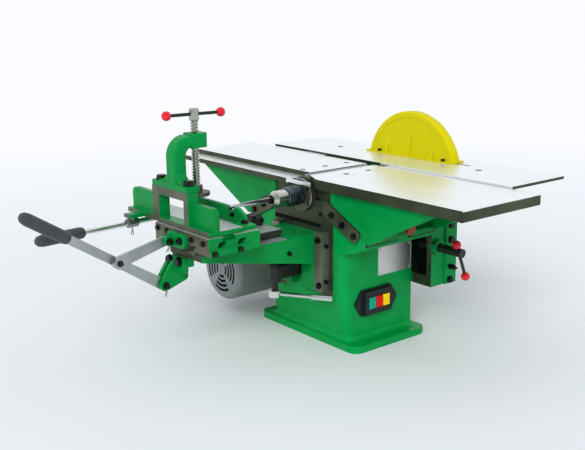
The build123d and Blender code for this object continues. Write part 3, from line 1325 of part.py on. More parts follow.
def traverse_collar():
    """Swivelling sleeve under the vise that the traverse lever slides through."""
    length = hypot(COLLAR_AT[0] - TRAVERSE_PIVOT[0], COLLAR_AT[1] - TRAVERSE_PIVOT[1])
    body = rod(traverse_at(length - 12), traverse_at(length + 12), 10.5)
    cx, cy = COLLAR_AT
    body += rod((cx, cy, TRAVERSE_Z), (cx, cy, TRAVERSE_Z + 11.4), 9)
    body -= rod((cx, cy, TRAVERSE_Z + 8.5), (cx, cy, TRAVERSE_Z + 12), PIN + RUNNING)
    return body - rod(traverse_at(length - 14), traverse_at(length + 14), TRAVERSE_ROD + COLLAR_PLAY)


NODES = {
    "frame_casting": frame_casting,
    "bearing_caps": bearing_caps,
    "spindle_bearings": spindle_bearings,
    "knee_keepers": knee_keepers,
    "way_gibs": way_gibs,
    "switch_housing": switch_housing,
    "start_button": lambda: push_button(0),
    "stop_button": lambda: push_button(1),
    "jog_button": lambda: push_button(2),
    "motor_mount": motor_mount,
    "motor_body": motor_body,
    "motor_fan_cover": motor_fan_cover,
    "motor_terminal_box": motor_terminal_box,
    "drive_belt": drive_belt,
    "elevating_bracket": elevating_bracket,
    "motor_shaft": motor_shaft,
    "motor_fan": motor_fan,
    "motor_pulley": lambda: v_pulley(MOTOR, MOTOR_PITCH, MOTOR_SHAFT),
    "spindle_shaft": spindle_shaft,
    "cutter_block": cutter_block,
    "planer_knives": planer_knives,
    "spindle_pulley": lambda: v_pulley(SPINDLE, SPINDLE_PITCH, SHAFT),
    "saw_blade": saw_blade,
    "saw_nut": saw_nut,
    "chuck_sleeve": chuck_sleeve,
    "chuck_body": chuck_body,
    "chuck_jaws": chuck_jaws,
    "mortise_bit": mortise_bit,
    "infeed_table": infeed_table,
    "infeed_lip": lambda: table_lip(1),
    "adjuster_screw": adjuster_screw,
    "adjuster_knob": adjuster_knob,
    "outfeed_table": outfeed_table,
    "outfeed_lip": lambda: table_lip(-1),
    "saw_table": saw_table,
    "saw_table_bracket": saw_table_bracket,
    "lift_shaft": lift_shaft,
    "lift_bar": lift_bar,
    "lift_balls": lift_balls,
    "saw_guard": saw_guard,
    "knee": knee,
    "elevating_screw": elevating_screw,
    "ratchet_handle": ratchet_handle,
    "lever_fork": lever_fork,
    "saddle": saddle,
    "saddle_gib": saddle_gib,
    "link_lug": link_lug,
    "work_stop": work_stop,
    "vise_fence": vise_fence,
    "clamp_arch": clamp_arch,
    "clamp_shoe": clamp_shoe,
    "clamp_screw": clamp_screw,
    "clamp_bar": clamp_bar,
    "clamp_balls": clamp_balls,
    "plunge_lever": plunge_lever,
    "plunge_grip": plunge_grip,
    "plunge_link": plunge_link,
    "traverse_lever": traverse_lever,
    "traverse_grip": traverse_grip,
    "traverse_collar": traverse_collar,
}

os.makedirs("parts", exist_ok=True)
for name, make in NODES.items():
    shape = make()
    pieces = shape if isinstance(shape, list) else [shape]
    solids = [solid for piece in pieces for solid in piece.solids()]
    export_step(solids[0] if len(solids) == 1 else Compound(children=solids), f"parts/{name}.step")
    print(name, len(solids))
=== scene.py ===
# %% [markdown]
# # A combination saw planer
# The machine is a cast-iron column with a planer on top, a saw table behind it and a mortising
# knee in front. All of that could be modelled again here, but the CAD model already gives every
# solid its size and place, so this lesson loads that model and dresses it.

from math import ceil, cos, pi, radians, sin

import bmesh
import bpy
from mathutils import Matrix, Vector


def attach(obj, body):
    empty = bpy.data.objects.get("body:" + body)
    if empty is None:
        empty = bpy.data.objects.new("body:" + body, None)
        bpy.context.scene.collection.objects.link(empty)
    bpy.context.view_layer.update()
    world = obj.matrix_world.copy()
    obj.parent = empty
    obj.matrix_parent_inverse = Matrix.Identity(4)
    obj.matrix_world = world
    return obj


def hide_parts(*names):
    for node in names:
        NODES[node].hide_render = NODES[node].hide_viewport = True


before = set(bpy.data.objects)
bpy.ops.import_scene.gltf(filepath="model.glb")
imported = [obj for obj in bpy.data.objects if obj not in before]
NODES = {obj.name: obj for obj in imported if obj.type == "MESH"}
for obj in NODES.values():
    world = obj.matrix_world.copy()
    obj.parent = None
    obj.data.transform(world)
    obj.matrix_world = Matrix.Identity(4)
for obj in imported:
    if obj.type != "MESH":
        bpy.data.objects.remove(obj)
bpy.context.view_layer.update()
MM = 0.001

# %% [markdown]
# ## The camera
# A photograph is matched by a focal length in pixels, the camera's place, and three turns. They
# could be found by trial, but the height of the horizon and the lean of the upright edges give
# them more surely, and a shift of a few pixels takes up the rest. The lens is the same focal
# length, written for a sensor that is 36 mm wide.

# %% Camera
PHOTO_WIDE = 585
FOCAL_PIXELS = 906.5
SENSOR = 36.0
CAMERA_AT = Vector((1521.8, -1366.2, 745.4)) * MM
AZIMUTH, ELEVATION, ROLL = radians(51.18), radians(13.64), radians(-0.59)
SHIFT_PIXELS = (-1.1, -2.9)
SIGHT = 100

back = Vector((sin(AZIMUTH) * cos(ELEVATION), -cos(AZIMUTH) * cos(ELEVATION), sin(ELEVATION)))
level = Vector((cos(AZIMUTH), sin(AZIMUTH), 0))
upright = back.cross(level)
right = cos(ROLL) * level + sin(ROLL) * upright
above = cos(ROLL) * upright - sin(ROLL) * level

camera = bpy.data.objects.new("camera", bpy.data.cameras.new("camera"))
looking = Matrix((right, above, back)).transposed().to_4x4()
camera.matrix_world = Matrix.Translation(CAMERA_AT) @ looking
camera.data.sensor_width = SENSOR
camera.data.lens = FOCAL_PIXELS / PHOTO_WIDE * SENSOR
camera.data.shift_x = SHIFT_PIXELS[0] / PHOTO_WIDE
camera.data.shift_y = SHIFT_PIXELS[1] / PHOTO_WIDE
camera.data.clip_end = SIGHT
bpy.context.scene.collection.objects.link(camera)
bpy.context.scene.camera = camera
print("camera lens", round(camera.data.lens, 2), "mm")

# %% [markdown]
# ## Helpers for materials
# Colours are written as sRGB hex values, as a colour picker shows them, and shader sockets take
# linear light, so one function turns one into the other. Nodes could be wired by hand in the
# shader editor, but a script can be read again and repeated. So one more function adds any shader
# node, gives it its settings, and fills its sockets with numbers or with links from other nodes.

# %% Colour and node helpers
def linear(hex_colour):
    """An sRGB hex colour as linear RGBA."""
    parts = [int(hex_colour[at:at + 2], 16) / 255 for at in (1, 3, 5)]
    return [p / 12.92 if p <= 0.04045 else ((p + 0.055) / 1.055) ** 2.4 for p in parts] + [1.0]


def add(tree, kind, sockets=None, **settings):
    """Adds a shader node with its settings; sockets holds numbers or other nodes' outputs."""
    node = tree.nodes.new("ShaderNode" + kind)
    for name, value in settings.items():
        setattr(node, name, value)
    for key, value in (sockets or {}).items():
        if isinstance(value, bpy.types.NodeSocket):
            tree.links.new(value, node.inputs[key])
        else:
            node.inputs[key].default_value = value
    return node.outputs


def new_material(name):
    """An empty node material and its tree."""
    material = bpy.data.materials.new(name)
    material.use_nodes = True
    material.node_tree.nodes.clear()
    return material, material.node_tree


def per_metre(millimetres):
    """The texture scale at which one pattern cell is this many millimetres."""
    return 1 / (millimetres * MM)


print("helpers ready, mid grey is", [round(c, 3) for c in linear("#808080")])

# %% [markdown]
# ## The floor
# A studio floor is a sheet that curves up behind the object. A curved sheet would stand in the
# way of other views, so this one is flat, reaches far out, and fades into the sky before a hard
# line can cross the picture. Only the camera sees the fade: light still meets matt paint, so the
# machine keeps its shadow.

# %% Floor
FLOOR_HALF = 40
FLOOR_TONES = "#E9EDF0", "#EDF0F2"
FLOOR_CLOUD = 400
FLOOR_ROUGH = 0.75
FADE_FROM, FADE_TO = 0.8, 3.2
SKY_COLOUR = "#FAFCFF"


def floor_paint():
    """Matt paint that keeps the shadow near the machine and turns into sky far from it."""
    material, tree = new_material("matt_floor_paint")
    spot = add(tree, "TexCoord")["Object"]
    cloud = add(tree, "TexNoise", {
        "Vector": spot, "Scale": per_metre(FLOOR_CLOUD), "Detail": 2.0})["Fac"]
    first, second = [linear(tone) for tone in FLOOR_TONES]
    tone = add(tree, "Mix", {0: cloud, 6: first, 7: second}, data_type="RGBA")[2]
    paint = add(tree, "BsdfPrincipled", {"Base Color": tone, "Roughness": FLOOR_ROUGH})["BSDF"]
    away = add(tree, "VectorMath", {0: spot}, operation="LENGTH")["Value"]
    fade = add(tree, "MapRange", {
        0: away, 1: FADE_FROM, 2: FADE_TO}, interpolation_type="SMOOTHSTEP")[0]
    seen = add(tree, "LightPath")["Is Camera Ray"]
    share = add(tree, "Math", {0: fade, 1: seen}, operation="MULTIPLY")[0]
    sky = add(tree, "Emission", {"Color": linear(SKY_COLOUR), "Strength": 1.0})[0]
    faded = add(tree, "MixShader", {0: share, 1: paint, 2: sky})[0]
    add(tree, "OutputMaterial", {"Surface": faded})
    return material


sheet = bpy.data.meshes.new("floor")
corners = [(x * FLOOR_HALF, y * FLOOR_HALF, 0) for x, y in ((-1, -1), (1, -1), (1, 1), (-1, 1))]
sheet.from_pydata(corners, [], [(0, 1, 2, 3)])
sheet.materials.append(floor_paint())
floor = bpy.data.objects.new("floor", sheet)
bpy.context.scene.collection.objects.link(floor)
print("floor fades into the sky from", FADE_FROM, "to", FADE_TO, "m")

# %% [markdown]
# ## Sky and lamp
# The light is that of a plain studio: one broad lamp above and in front for a soft shadow, and a
# sky that fills the rest. Several lamps would do as well, but each would leave a white patch on
# the ground tables. So there is one, left out of reflections, and mirrored rays see a sky that is
# bright on one side only, which gives round metal its light and dark bands. The camera sees a
# white sky, while the object is lit by a dimmer one, so that colours render about as written.

# %% Sky and lamp
SKY_FILL = 0.74
SKY_DIM = 0.45
SKY_BRIGHT_SIDE = Vector((-0.75, 0.6, 0.3)).normalized()
SKY_DIM_BELOW, SKY_BRIGHT_ABOVE = -0.4, 0.7
LAMP_STRENGTH = 1.8
LAMP_ANGLE = radians(30)
LAMP_FROM = Vector((0.72, -0.9, 0.75))


def white_sky():
    """White for the camera, one-sided for mirrored rays, and a dimmer even fill for the rest."""
    world = bpy.data.worlds.new("studio_sky")
    world.use_nodes = True
    tree = world.node_tree
    tree.nodes.clear()
    path = add(tree, "LightPath")
    ray = add(tree, "TexCoord")["Generated"]
    toward = add(tree, "VectorMath", {
        0: ray, 1: SKY_BRIGHT_SIDE}, operation="DOT_PRODUCT")["Value"]
    mirrored = add(tree, "MapRange", {
        0: toward, 1: SKY_DIM_BELOW, 2: SKY_BRIGHT_ABOVE, 3: SKY_DIM, 4: 1.0})[0]
    strength = add(tree, "Mix", {0: path["Is Glossy Ray"], 2: SKY_FILL, 3: mirrored})[0]
    strength = add(tree, "Mix", {0: path["Is Camera Ray"], 2: strength, 3: 1.0})[0]
    sky = add(tree, "Background", {"Color": linear(SKY_COLOUR), "Strength": strength})[0]
    add(tree, "OutputWorld", {"Surface": sky})
    return world


bpy.context.scene.world = white_sky()
bpy.context.scene.view_settings.view_transform = "Standard"
lamp = bpy.data.objects.new("soft_lamp", bpy.data.lights.new("soft_lamp", "SUN"))
lamp.data.energy = LAMP_STRENGTH
lamp.data.angle = LAMP_ANGLE
lamp.rotation_euler = LAMP_FROM.to_track_quat("Z", "Y").to_euler()
lamp.visible_glossy = False
bpy.context.scene.collection.objects.link(lamp)
print("sky fills with", SKY_FILL, "and the lamp gives", LAMP_STRENGTH)

# %% [markdown]
# ## Where the iron is bare
# The castings were painted all over, and then milled or ground where something slides or rests,
# so paint and bare metal meet at a machined edge. Each face could be given a material by its
# number, but numbers change with the mesh. Boxes in millimetres, with the way that a face looks,
# say the same and last, so a zone is written as a box and shader nodes test each point for it.

# %% Masks from boxes
FACES = {"-y": (1, -1), "+z": (2, 1)}
FACING = 0.6


def zone_tests(tree, zone, place, slope):
    """The tests of one zone, each 1 or 0 at every point."""
    tests = []
    for number, axis in enumerate("xyz"):
        for limit, test in zip(zone.get(axis, (None, None)), ("GREATER_THAN", "LESS_THAN")):
            if limit is not None:
                sockets = {0: place[number], 1: limit * MM}
                tests.append(add(tree, "Math", sockets, operation=test)[0])
    if "round" in zone:
        x, z, radius = zone["round"]
        flat = add(tree, "CombineXYZ", {0: place[0], 2: place[2]})[0]
        away = add(tree, "VectorMath", {
            0: flat, 1: (x * MM, 0, z * MM)}, operation="DISTANCE")["Value"]
        tests.append(add(tree, "Math", {0: away, 1: radius * MM}, operation="LESS_THAN")[0])
    if "face" in zone:
        number, sign = FACES[zone["face"]]
        turned = add(tree, "Math", {0: slope[number], 1: sign}, operation="MULTIPLY")[0]
        tests.append(add(tree, "Math", {0: turned, 1: FACING}, operation="GREATER_THAN")[0])
    return tests


def zone_mask(tree, zones):
    """1 inside any of the boxes, such as {"y": (None, -113), "face": "-y"}, and 0 elsewhere.

    A zone with "round": (x, z, radius) is only inside that circle round an axis along Y.
    """
    coordinate = add(tree, "TexCoord")
    place = add(tree, "SeparateXYZ", {0: coordinate["Object"]})
    slope = add(tree, "SeparateXYZ", {0: coordinate["Normal"]})
    whole = None
    for zone in zones:
        mask, *others = zone_tests(tree, zone, place, slope)
        for test in others:
            mask = add(tree, "Math", {0: mask, 1: test}, operation="MULTIPLY")[0]
        if whole is not None:
            mask = add(tree, "Math", {0: whole, 1: mask}, operation="MAXIMUM")[0]
        whole = mask
    return whole


print("zones can ask for faces that look", *FACES)

# %% [markdown]
# ## Clouds, edges and tool marks
# No real surface has one even colour. Paint dries in faint clouds, oil leaves blotches, paint is
# thin on an edge, and a tool leaves lines. A paler edge also stands as a painted highlight.
# Pictures of all that would blur close by and repeat far off, so noise makes the clouds, the same
# noise drawn out along one axis makes the lines, and an edge is found where a rounded normal leaves
# the flat one.

# %% Patterns of a surface
# Size in millimetres, detail, and the share of the noise that is left out at each end.
CLOUDS = {"paint": (70, 3.0, 0.35), "oil": (45, 4.0, 0.3), "moulding": (22, 3.0, 0.3)}
EDGE_RAYS = 4


def clouded(tree, spot, kind, first, second):
    """A colour that drifts between two tones in clouds of a kind."""
    size, detail, cut = CLOUDS[kind]
    cloud = add(tree, "TexNoise", {
        "Vector": spot, "Scale": per_metre(size), "Detail": detail})["Fac"]
    spread = add(tree, "MapRange", {0: cloud, 1: cut, 2: 1 - cut})[0]
    tones = {6: linear(first), 7: linear(second)}
    return add(tree, "Mix", {0: spread, **tones}, data_type="RGBA")[2]


def pale_edges_and_highlights(tree, rounded, gain, share, colour, pale):
    """The colour with a paler one on its edges, for thin paint and as a painted highlight; gain
    widens them and share sets how much of the pale one is mixed in.
    """
    flat = add(tree, "NewGeometry")["Normal"]
    along = add(tree, "VectorMath", {0: rounded, 1: flat}, operation="DOT_PRODUCT")["Value"]
    turn = add(tree, "Math", {0: 1.0, 1: along}, operation="SUBTRACT")[0]
    edge = add(tree, "Math", {0: turn, 1: gain}, operation="MULTIPLY", use_clamp=True)[0]
    thin = add(tree, "Math", {0: edge, 1: share}, operation="MULTIPLY")[0]
    return add(tree, "Mix", {0: thin, 6: colour, 7: linear(pale)}, data_type="RGBA")[2]


def tool_marks(tree, spot, wide, long, along):
    """Noise drawn out along one axis into lines of this width and length in millimetres."""
    stretch = [per_metre(wide)] * 3
    stretch["xyz".index(along)] = per_metre(long)
    lined = add(tree, "Mapping", {"Vector": spot, "Scale": stretch})[0]
    return add(tree, "TexNoise", {"Vector": lined, "Scale": 1.0, "Detail": 2.0})["Fac"]


print("patterns ready, with clouds of", [size for size, *_ in CLOUDS.values()], "mm")

# %% [markdown]
# ## Enamel on cast iron
# The paint is a gloss green enamel from a spray gun. It has orange peel over the faint waves of
# the sand mould. The iron under it is dull with oil where it was milled, and bright with straight
# lines where it was ground. Hollows get a near-black painted shade. Four materials could share a
# casting, but a seam would show at each border, so one material carries them all, and each finish
# is laid over the one before, as the maker laid them, with the painted shade last.

# %% Finishes of a casting
CAST_EDGE, CAST_EDGE_GAIN, CAST_EDGE_SHARE = 2.2, 2.6, 0.55
PEEL, MOULD_WAVE, WAVE_SHARE = 2.4, 26, 0.72
GLOSS_PATCH = 30
PAINT_ROUGH = (0.24, 0.36)
PAINT_BUMP, PAINT_RELIEF = 0.22, 0.4
PAINT_GLOSS = 0.1
MILLED_ROUGH, MILLED_METAL = 0.42, 0.72
# Real grinding lines are a tenth as wide; these are drawn coarse enough to show.
GRIND_LINE, GRIND_LENGTH, GRIND_DEPTH = 1.3, 60, 0.25
GROUND_ROUGH = (0.22, 0.36)
# Near-black tones of painted shade, for hollows and for the dark behind slots.
PAINTED_SHADE_TONES, PAINTED_SHADE_ROUGH = ("#12160F", "#1D221B"), 0.7
EVERYWHERE = "everywhere"


def enamel(tree, spot, rounded, paint, pale, deep):
    """Sprayed gloss paint, as what it gives each socket of the shader and the bump's height."""
    colour = clouded(tree, spot, "paint", deep, paint)
    colour = pale_edges_and_highlights(tree, rounded, CAST_EDGE_GAIN, CAST_EDGE_SHARE, colour, pale)
    patch, peel, wave = [
        add(tree, "TexNoise", {"Vector": spot, "Scale": per_metre(size), "Detail": detail})["Fac"]
        for size, detail in ((GLOSS_PATCH, 2.0), (PEEL, 1.0), (MOULD_WAVE, 2.0))]
    rough = add(tree, "MapRange", {0: patch, 3: PAINT_ROUGH[0], 4: PAINT_ROUGH[1]})[0]
    height = add(tree, "Mix", {0: WAVE_SHARE, 2: peel, 3: wave})[0]
    return {"Base Color": colour, "Roughness": rough, "Metallic": 0.0, "Height": height}


def lay_over(tree, zones, finish, over):
    """Lays a second finish over the first, inside the zones or everywhere."""
    if zones == EVERYWHERE:
        finish.update(over)
        return
    mask = zone_mask(tree, zones)
    for part, value in over.items():
        if part == "Base Color":
            sockets = {0: mask, 6: finish[part], 7: value}
            finish[part] = add(tree, "Mix", sockets, data_type="RGBA")[2]
        else:
            finish[part] = add(tree, "Mix", {0: mask, 2: finish[part], 3: value})[0]


def casting(name, bare=(), ground=(), painted_shade=(), paint="#008E42", pale="#2BAA60", deep="#00823A",
            iron="#555B4A", iron_dark="#434939", plate="#EDF1F2", plate_dark="#DFE5E7",
            shine=1.0, grind="x"):
    """Enamelled grey iron with zones that are milled, ground, or darkened by painted shade."""
    material, tree = new_material(name)
    spot = add(tree, "TexCoord")["Object"]
    rounded = add(tree, "Bevel", {"Radius": CAST_EDGE * MM}, samples=EDGE_RAYS)[0]
    finish = enamel(tree, spot, rounded, paint, pale, deep)
    if bare:
        lay_over(tree, bare, finish, {
            "Base Color": clouded(tree, spot, "oil", iron_dark, iron),
            "Roughness": MILLED_ROUGH, "Metallic": MILLED_METAL})
    if ground:
        lines = tool_marks(tree, spot, GRIND_LINE, GRIND_LENGTH, grind)
        rough = add(tree, "MapRange", {0: lines, 3: GROUND_ROUGH[0], 4: GROUND_ROUGH[1]})[0]
        depth = add(tree, "Math", {0: lines, 1: GRIND_DEPTH}, operation="MULTIPLY")[0]
        lay_over(tree, ground, finish, {
            "Base Color": clouded(tree, spot, "oil", plate_dark, plate),
            "Roughness": rough, "Metallic": shine, "Height": depth})
    if painted_shade:
        lay_over(tree, painted_shade, finish, {
            "Base Color": clouded(tree, spot, "oil", *PAINTED_SHADE_TONES), "Roughness": PAINTED_SHADE_ROUGH})
    bump = add(tree, "Bump", {
        "Strength": PAINT_BUMP, "Distance": PAINT_RELIEF * MM, "Height": finish.pop("Height"),
        "Normal": rounded})[0]
    shader = add(tree, "BsdfPrincipled", {
        **finish, "Normal": bump, "Specular IOR Level": PAINT_GLOSS})["BSDF"]
    add(tree, "OutputMaterial", {"Surface": shader})
    return material


# Gloss enamel with nothing machined: even green with soft highlights, and pale edges of thin paint
# and painted highlight.
green_plain = casting("green_enamel_on_cast_iron")
print("casting finish ready, first used for", green_plain.name)

# %% [markdown]
# ## Bare metals
# Shafts, levers, screws and the chuck are steel that was turned, drawn, sawn, polished or
# blackened. What tells them apart is how dark they are, how clear a reflection is, and which way
# the tool went. A material of its own for each would repeat the same nodes, so one function makes
# them all from those three.

# %% Metals
METAL_EDGE, METAL_RELIEF = 0.8, 0.1


# Real tool marks are 0.1 to 0.2 mm wide; these are drawn coarse enough to show.
def metal(name, tone, dark, rough, wide=0.8, long=25, along="z", bump=0.12):
    """Bare metal with tool marks that run one way; rough is the range of its polish."""
    material, tree = new_material(name)
    spot = add(tree, "TexCoord")["Object"]
    rounded = add(tree, "Bevel", {"Radius": METAL_EDGE * MM}, samples=EDGE_RAYS)[0]
    marks = tool_marks(tree, spot, wide, long, along)
    polish = add(tree, "MapRange", {0: marks, 3: rough[0], 4: rough[1]})[0]
    normal = add(tree, "Bump", {
        "Strength": bump, "Distance": METAL_RELIEF * MM, "Height": marks, "Normal": rounded})[0]
    shader = add(tree, "BsdfPrincipled", {
        "Base Color": clouded(tree, spot, "oil", dark, tone), "Metallic": 1.0,
        "Roughness": polish, "Normal": normal})["BSDF"]
    add(tree, "OutputMaterial", {"Surface": shader})
    return material


# Turned on a lathe: mid grey, with fine marks that soften a reflection.
steel = metal("turned_mild_steel", "#A9AFAF", "#90979A", rough=(0.26, 0.4))
# Sawn from flat bar and left so: a dull and even grey.
bar_steel = metal("sawn_flat_bar", "#B8BDBC", "#A4AAA9", rough=(0.34, 0.5), along="y")
# Drawn through a die: bright and smooth.
rod_steel = metal("bright_drawn_rod", "#E8EDEB", "#D6DCDA", rough=(0.16, 0.3), bump=0.05)
# A cut thread kept in oil: warm grey with sharp glints on its flanks.
screw_steel = metal("oiled_screw_steel", "#C2C5BA", "#A5A89D", rough=(0.12, 0.22))
# Ground and polished: clear reflections and hardly any marks.
bright_steel = metal("polished_chrome_steel", "#DDE2E3", "#C9D0D2", rough=(0.1, 0.2), bump=0.05)
# Blackened in an oxide bath: dark, with a soft sheen.
dark_steel = metal("black_oxide_steel", "#4A4E4C", "#383C3B", rough=(0.3, 0.45))
# The same bath on screws: darker and with deeper marks, so that heads read as black dots.
bolt_steel = metal("black_oxide_screw", "#3A3F3C", "#262A28", rough=(0.3, 0.45), bump=0.2)
# Satin-turned: pale and silky, with a broad highlight.
nose_steel = metal("satin_chuck_steel", "#D6D7D0", "#C6C7C0", rough=(0.14, 0.24))
# Blued: a cold grey-blue, duller than the nose before it.
sleeve_steel = metal("blued_chuck_steel", "#66767C", "#525F66", rough=(0.26, 0.4))
# Zinc plated: light grey with an uneven polish.
zinc_steel = metal("zinc_plated_screw", "#B4B9B8", "#979D9D", rough=(0.25, 0.4))
# Brushed sheet: long scratches that draw a reflection out sideways.
brushed_plate = metal(
    "brushed_aluminium_plate", "#E4E6E2", "#D6D9D5", rough=(0.35, 0.5), wide=0.6, long=40,
    along="y")
print("made", len(bpy.data.materials), "materials so far")

# %% [markdown]
# ## Paints, plastics and rubber
# The rest is painted or moulded: grey motor paint, yellow powder coat, phenolic balls, vinyl
# grips, switch plastics and the belt. A mould or a spray leaves no direction, only a grain, which
# breaks up the gloss. The metals' function has lines in it, so these have one of their own, with
# a grain in their place and a paler tone on the edges as a painted highlight.

# %% Plastics
PLASTIC_EDGE, PLASTIC_EDGE_GAIN, PLASTIC_EDGE_SHARE = 0.9, 2.2, 0.5
PLASTIC_RELIEF = 0.25
PLASTIC_IOR = 1.5
ROUGH_SPREAD = (0.85, 1.15)


# The grain of a real mould is a tenth as large; it is drawn coarse enough to show.
def plastic(name, tone, dark, pale, rough, grain, bump, gloss=0.5):
    """Moulded or painted surface with a grain of this size in millimetres."""
    material, tree = new_material(name)
    spot = add(tree, "TexCoord")["Object"]
    rounded = add(tree, "Bevel", {"Radius": PLASTIC_EDGE * MM}, samples=EDGE_RAYS)[0]
    colour = clouded(tree, spot, "moulding", dark, tone)
    colour = pale_edges_and_highlights(tree, rounded, PLASTIC_EDGE_GAIN, PLASTIC_EDGE_SHARE, colour, pale)
    pimple = add(tree, "TexNoise", {
        "Vector": spot, "Scale": per_metre(grain), "Detail": 2.0})["Fac"]
    low, high = [rough * share for share in ROUGH_SPREAD]
    polish = add(tree, "MapRange", {0: pimple, 3: low, 4: high})[0]
    normal = add(tree, "Bump", {
        "Strength": bump, "Distance": PLASTIC_RELIEF * MM, "Height": pimple, "Normal": rounded})[0]
    shader = add(tree, "BsdfPrincipled", {
        "Base Color": colour, "Roughness": polish, "Normal": normal, "IOR": PLASTIC_IOR,
        "Specular IOR Level": gloss})["BSDF"]
    add(tree, "OutputMaterial", {"Surface": shader})
    return material


# Brushed black paint over raw iron: near black with a broken, low gloss.
black_iron = plastic(
    "black_painted_iron", "#1B1D1C", "#121413", "#3A3E3C", rough=0.45, grain=2.0, bump=0.2)
# Hammer paint, sprayed: mid grey with shallow dimples.
motor_paint = plastic(
    "hammer_grey_motor_paint", "#8D9393", "#858B8B", "#B2B8B8", rough=0.36, grain=3.0, bump=0.3)
# Powder coat, baked: one strong yellow with a fine grain and little gloss, and a pale rim that is a
# painted highlight.
guard_paint = plastic(
    "yellow_powder_coat", "#D3C900", "#CEC400", "#FAF37A", rough=0.34, grain=1.6, bump=0.14,
    gloss=0.1)
# Phenolic, pressed and polished: deep red with a small sharp highlight.
red_phenolic = plastic(
    "red_phenolic", "#E2142C", "#D20E24", "#F0606C", rough=0.14, grain=4.0, bump=0.03)
# Brushed paint on a knob that hands have dulled: brown red.
knob_paint = plastic(
    "red_painted_knob", "#93341C", "#842C15", "#B85C42", rough=0.35, grain=3.0, bump=0.1,
    gloss=0.25)
# Dipped vinyl: dark grey, soft and almost matt.
vinyl_grip = plastic(
    "grey_vinyl_grip", "#3E4143", "#343739", "#5E6365", rough=0.5, grain=1.2, bump=0.3)
# Moulded ABS: black with the fine grain of an etched mould.
switch_plastic = plastic(
    "black_moulded_abs", "#1B2322", "#151A1A", "#3A4543", rough=0.42, grain=1.0, bump=0.25,
    gloss=0.25)
# Moulded polycarbonate, in three colours: clean, strong and smooth.
KEY_FINISH = {"rough": 0.26, "grain": 3.0, "bump": 0.05, "gloss": 0.15}
teal_key = plastic("green_polycarbonate_key", "#12A288", "#0E957C", "#6CC8B4", **KEY_FINISH)
red_key = plastic("red_polycarbonate_key", "#E0100F", "#D20C0B", "#EA7468", **KEY_FINISH)
yellow_key = plastic("yellow_polycarbonate_key", "#FADA08", "#F0CF04", "#F6E88A", **KEY_FINISH)
# Moulded rubber: black and quite matt.
rubber = plastic("belt_rubber", "#232423", "#1B1C1B", "#3A3B3A", rough=0.7, grain=0.8, bump=0.4)
print("made", len(bpy.data.materials), "materials so far")

# %% [markdown]
# ## Zones of each casting
# The castings whose paint stops at a machined face get zones of their own. They could be painted
# onto the mesh by hand, but the drawing of each solid already says where its machined faces lie,
# so the limits below are read from it, in millimetres. Ground faces come out bright, milled ones
# a dull grey-brown, hollows and the dark behind slots get painted shade, and the rest keeps its
# paint.

# %% Painted and machined castings
WAY_FRONT = (None, -113.6)
# Ground tops: the pale grey of ground iron, raised to near white as painted reflection of a bright
# sky.
PALE_GROUND_AND_PAINTED_REFLECTION = {"plate": "#F3F7F9", "plate_dark": "#ECF1F3", "shine": 0.7}

# Planer tables: near-white ground tops, partly painted reflection, over dull edges and green webs.
tables = casting(
    "enamelled_and_ground_table", iron="#545A47", iron_dark="#414637", **PALE_GROUND_AND_PAINTED_REFLECTION,
    bare=[{"z": (351.5, None)}, {"x": (-95, 95), "y": (None, -100)}],
    ground=[{"z": (361, None), "face": "+z"},
            {"x": (-45, 40), "y": (None, -122), "z": (353, 364.5), "face": "-y"}])
# Saw table: a ground plate with no paint left on it. Its front edge on the infeed side is bright
# ground steel too, which paints light into the shade along it.
saw_iron = casting(
    "ground_saw_plate", **PALE_GROUND_AND_PAINTED_REFLECTION, bare=EVERYWHERE,
    ground=[{"z": (377, None), "face": "+z"}, {"x": (20, None), "face": "-y"}])
# Column: green, with milled ways in front and painted shade in its hollows.
column = casting(
    # A lighter green than the other castings, which paints light into the shade under the tables.
    "enamelled_column", paint="#009948", deep="#008E41", pale="#2BB066",
    bare=[{"y": WAY_FRONT, "x": (-101.5, 101.5), "z": (217, None), "face": "-y"},
          {"y": WAY_FRONT, "x": (62, 101.5), "z": (104, 217), "face": "-y"},
          {"y": WAY_FRONT, "x": (-101.5, -62), "z": (104, 217), "face": "-y"},
          {"x": (-60, 60), "y": (None, -90), "z": (285, None)},
          {"x": (136, None), "y": (98, 103), "face": "-y"}],
    # Painted shade in the groove across the head's front and inside the box at the back on the
    # right.
    painted_shade=[{"x": (-103, 63), "y": (-113.5, -109), "z": (258, 276)},
            {"x": (121, 179), "y": (99.5, 163), "z": (117, 271)}])
# Knee, saddle and vise: green sides, with satin tops where the next part slides.
knee_iron = casting(
    "enamelled_and_milled_knee", grind="y", plate="#BAC3BF", plate_dark="#A6AFAB", shine=0.45,
    bare=[{"z": (254.6, None), "y": (None, -207)}, {"y": (None, -423.4), "face": "-y"}],
    ground=[{"z": (254.6, None), "y": (None, -207), "face": "+z"}])
saddle_iron = casting(
    "enamelled_and_milled_saddle", plate="#BCC7C3", plate_dark="#AAB5B1", shine=0.5,
    iron="#7A7466", iron_dark="#625D50",
    bare=[{"y": (None, -429.4), "face": "-y"}, {"x": (None, -107)}],
    ground=[{"z": (298, None), "face": "+z"}])
vise_iron = casting(
    "enamelled_and_milled_vise", plate="#BFCAC6", plate_dark="#ADB8B4", shine=0.5,
    iron="#747566", iron_dark="#5E6051",
    bare=[{"y": (None, -422.4), "face": "-y"}, {"z": (None, 309), "face": "-y"}],
    ground=[{"z": (305, 312), "y": (-396, None), "face": "+z"}])
# Bracket of the saw table: green above, with a post that oil has darkened.
saw_post = casting(
    "enamelled_bracket_with_sliding_post", iron="#2E322A", iron_dark="#232720",
    bare=[{"y": (None, 166), "z": (None, 300)}])
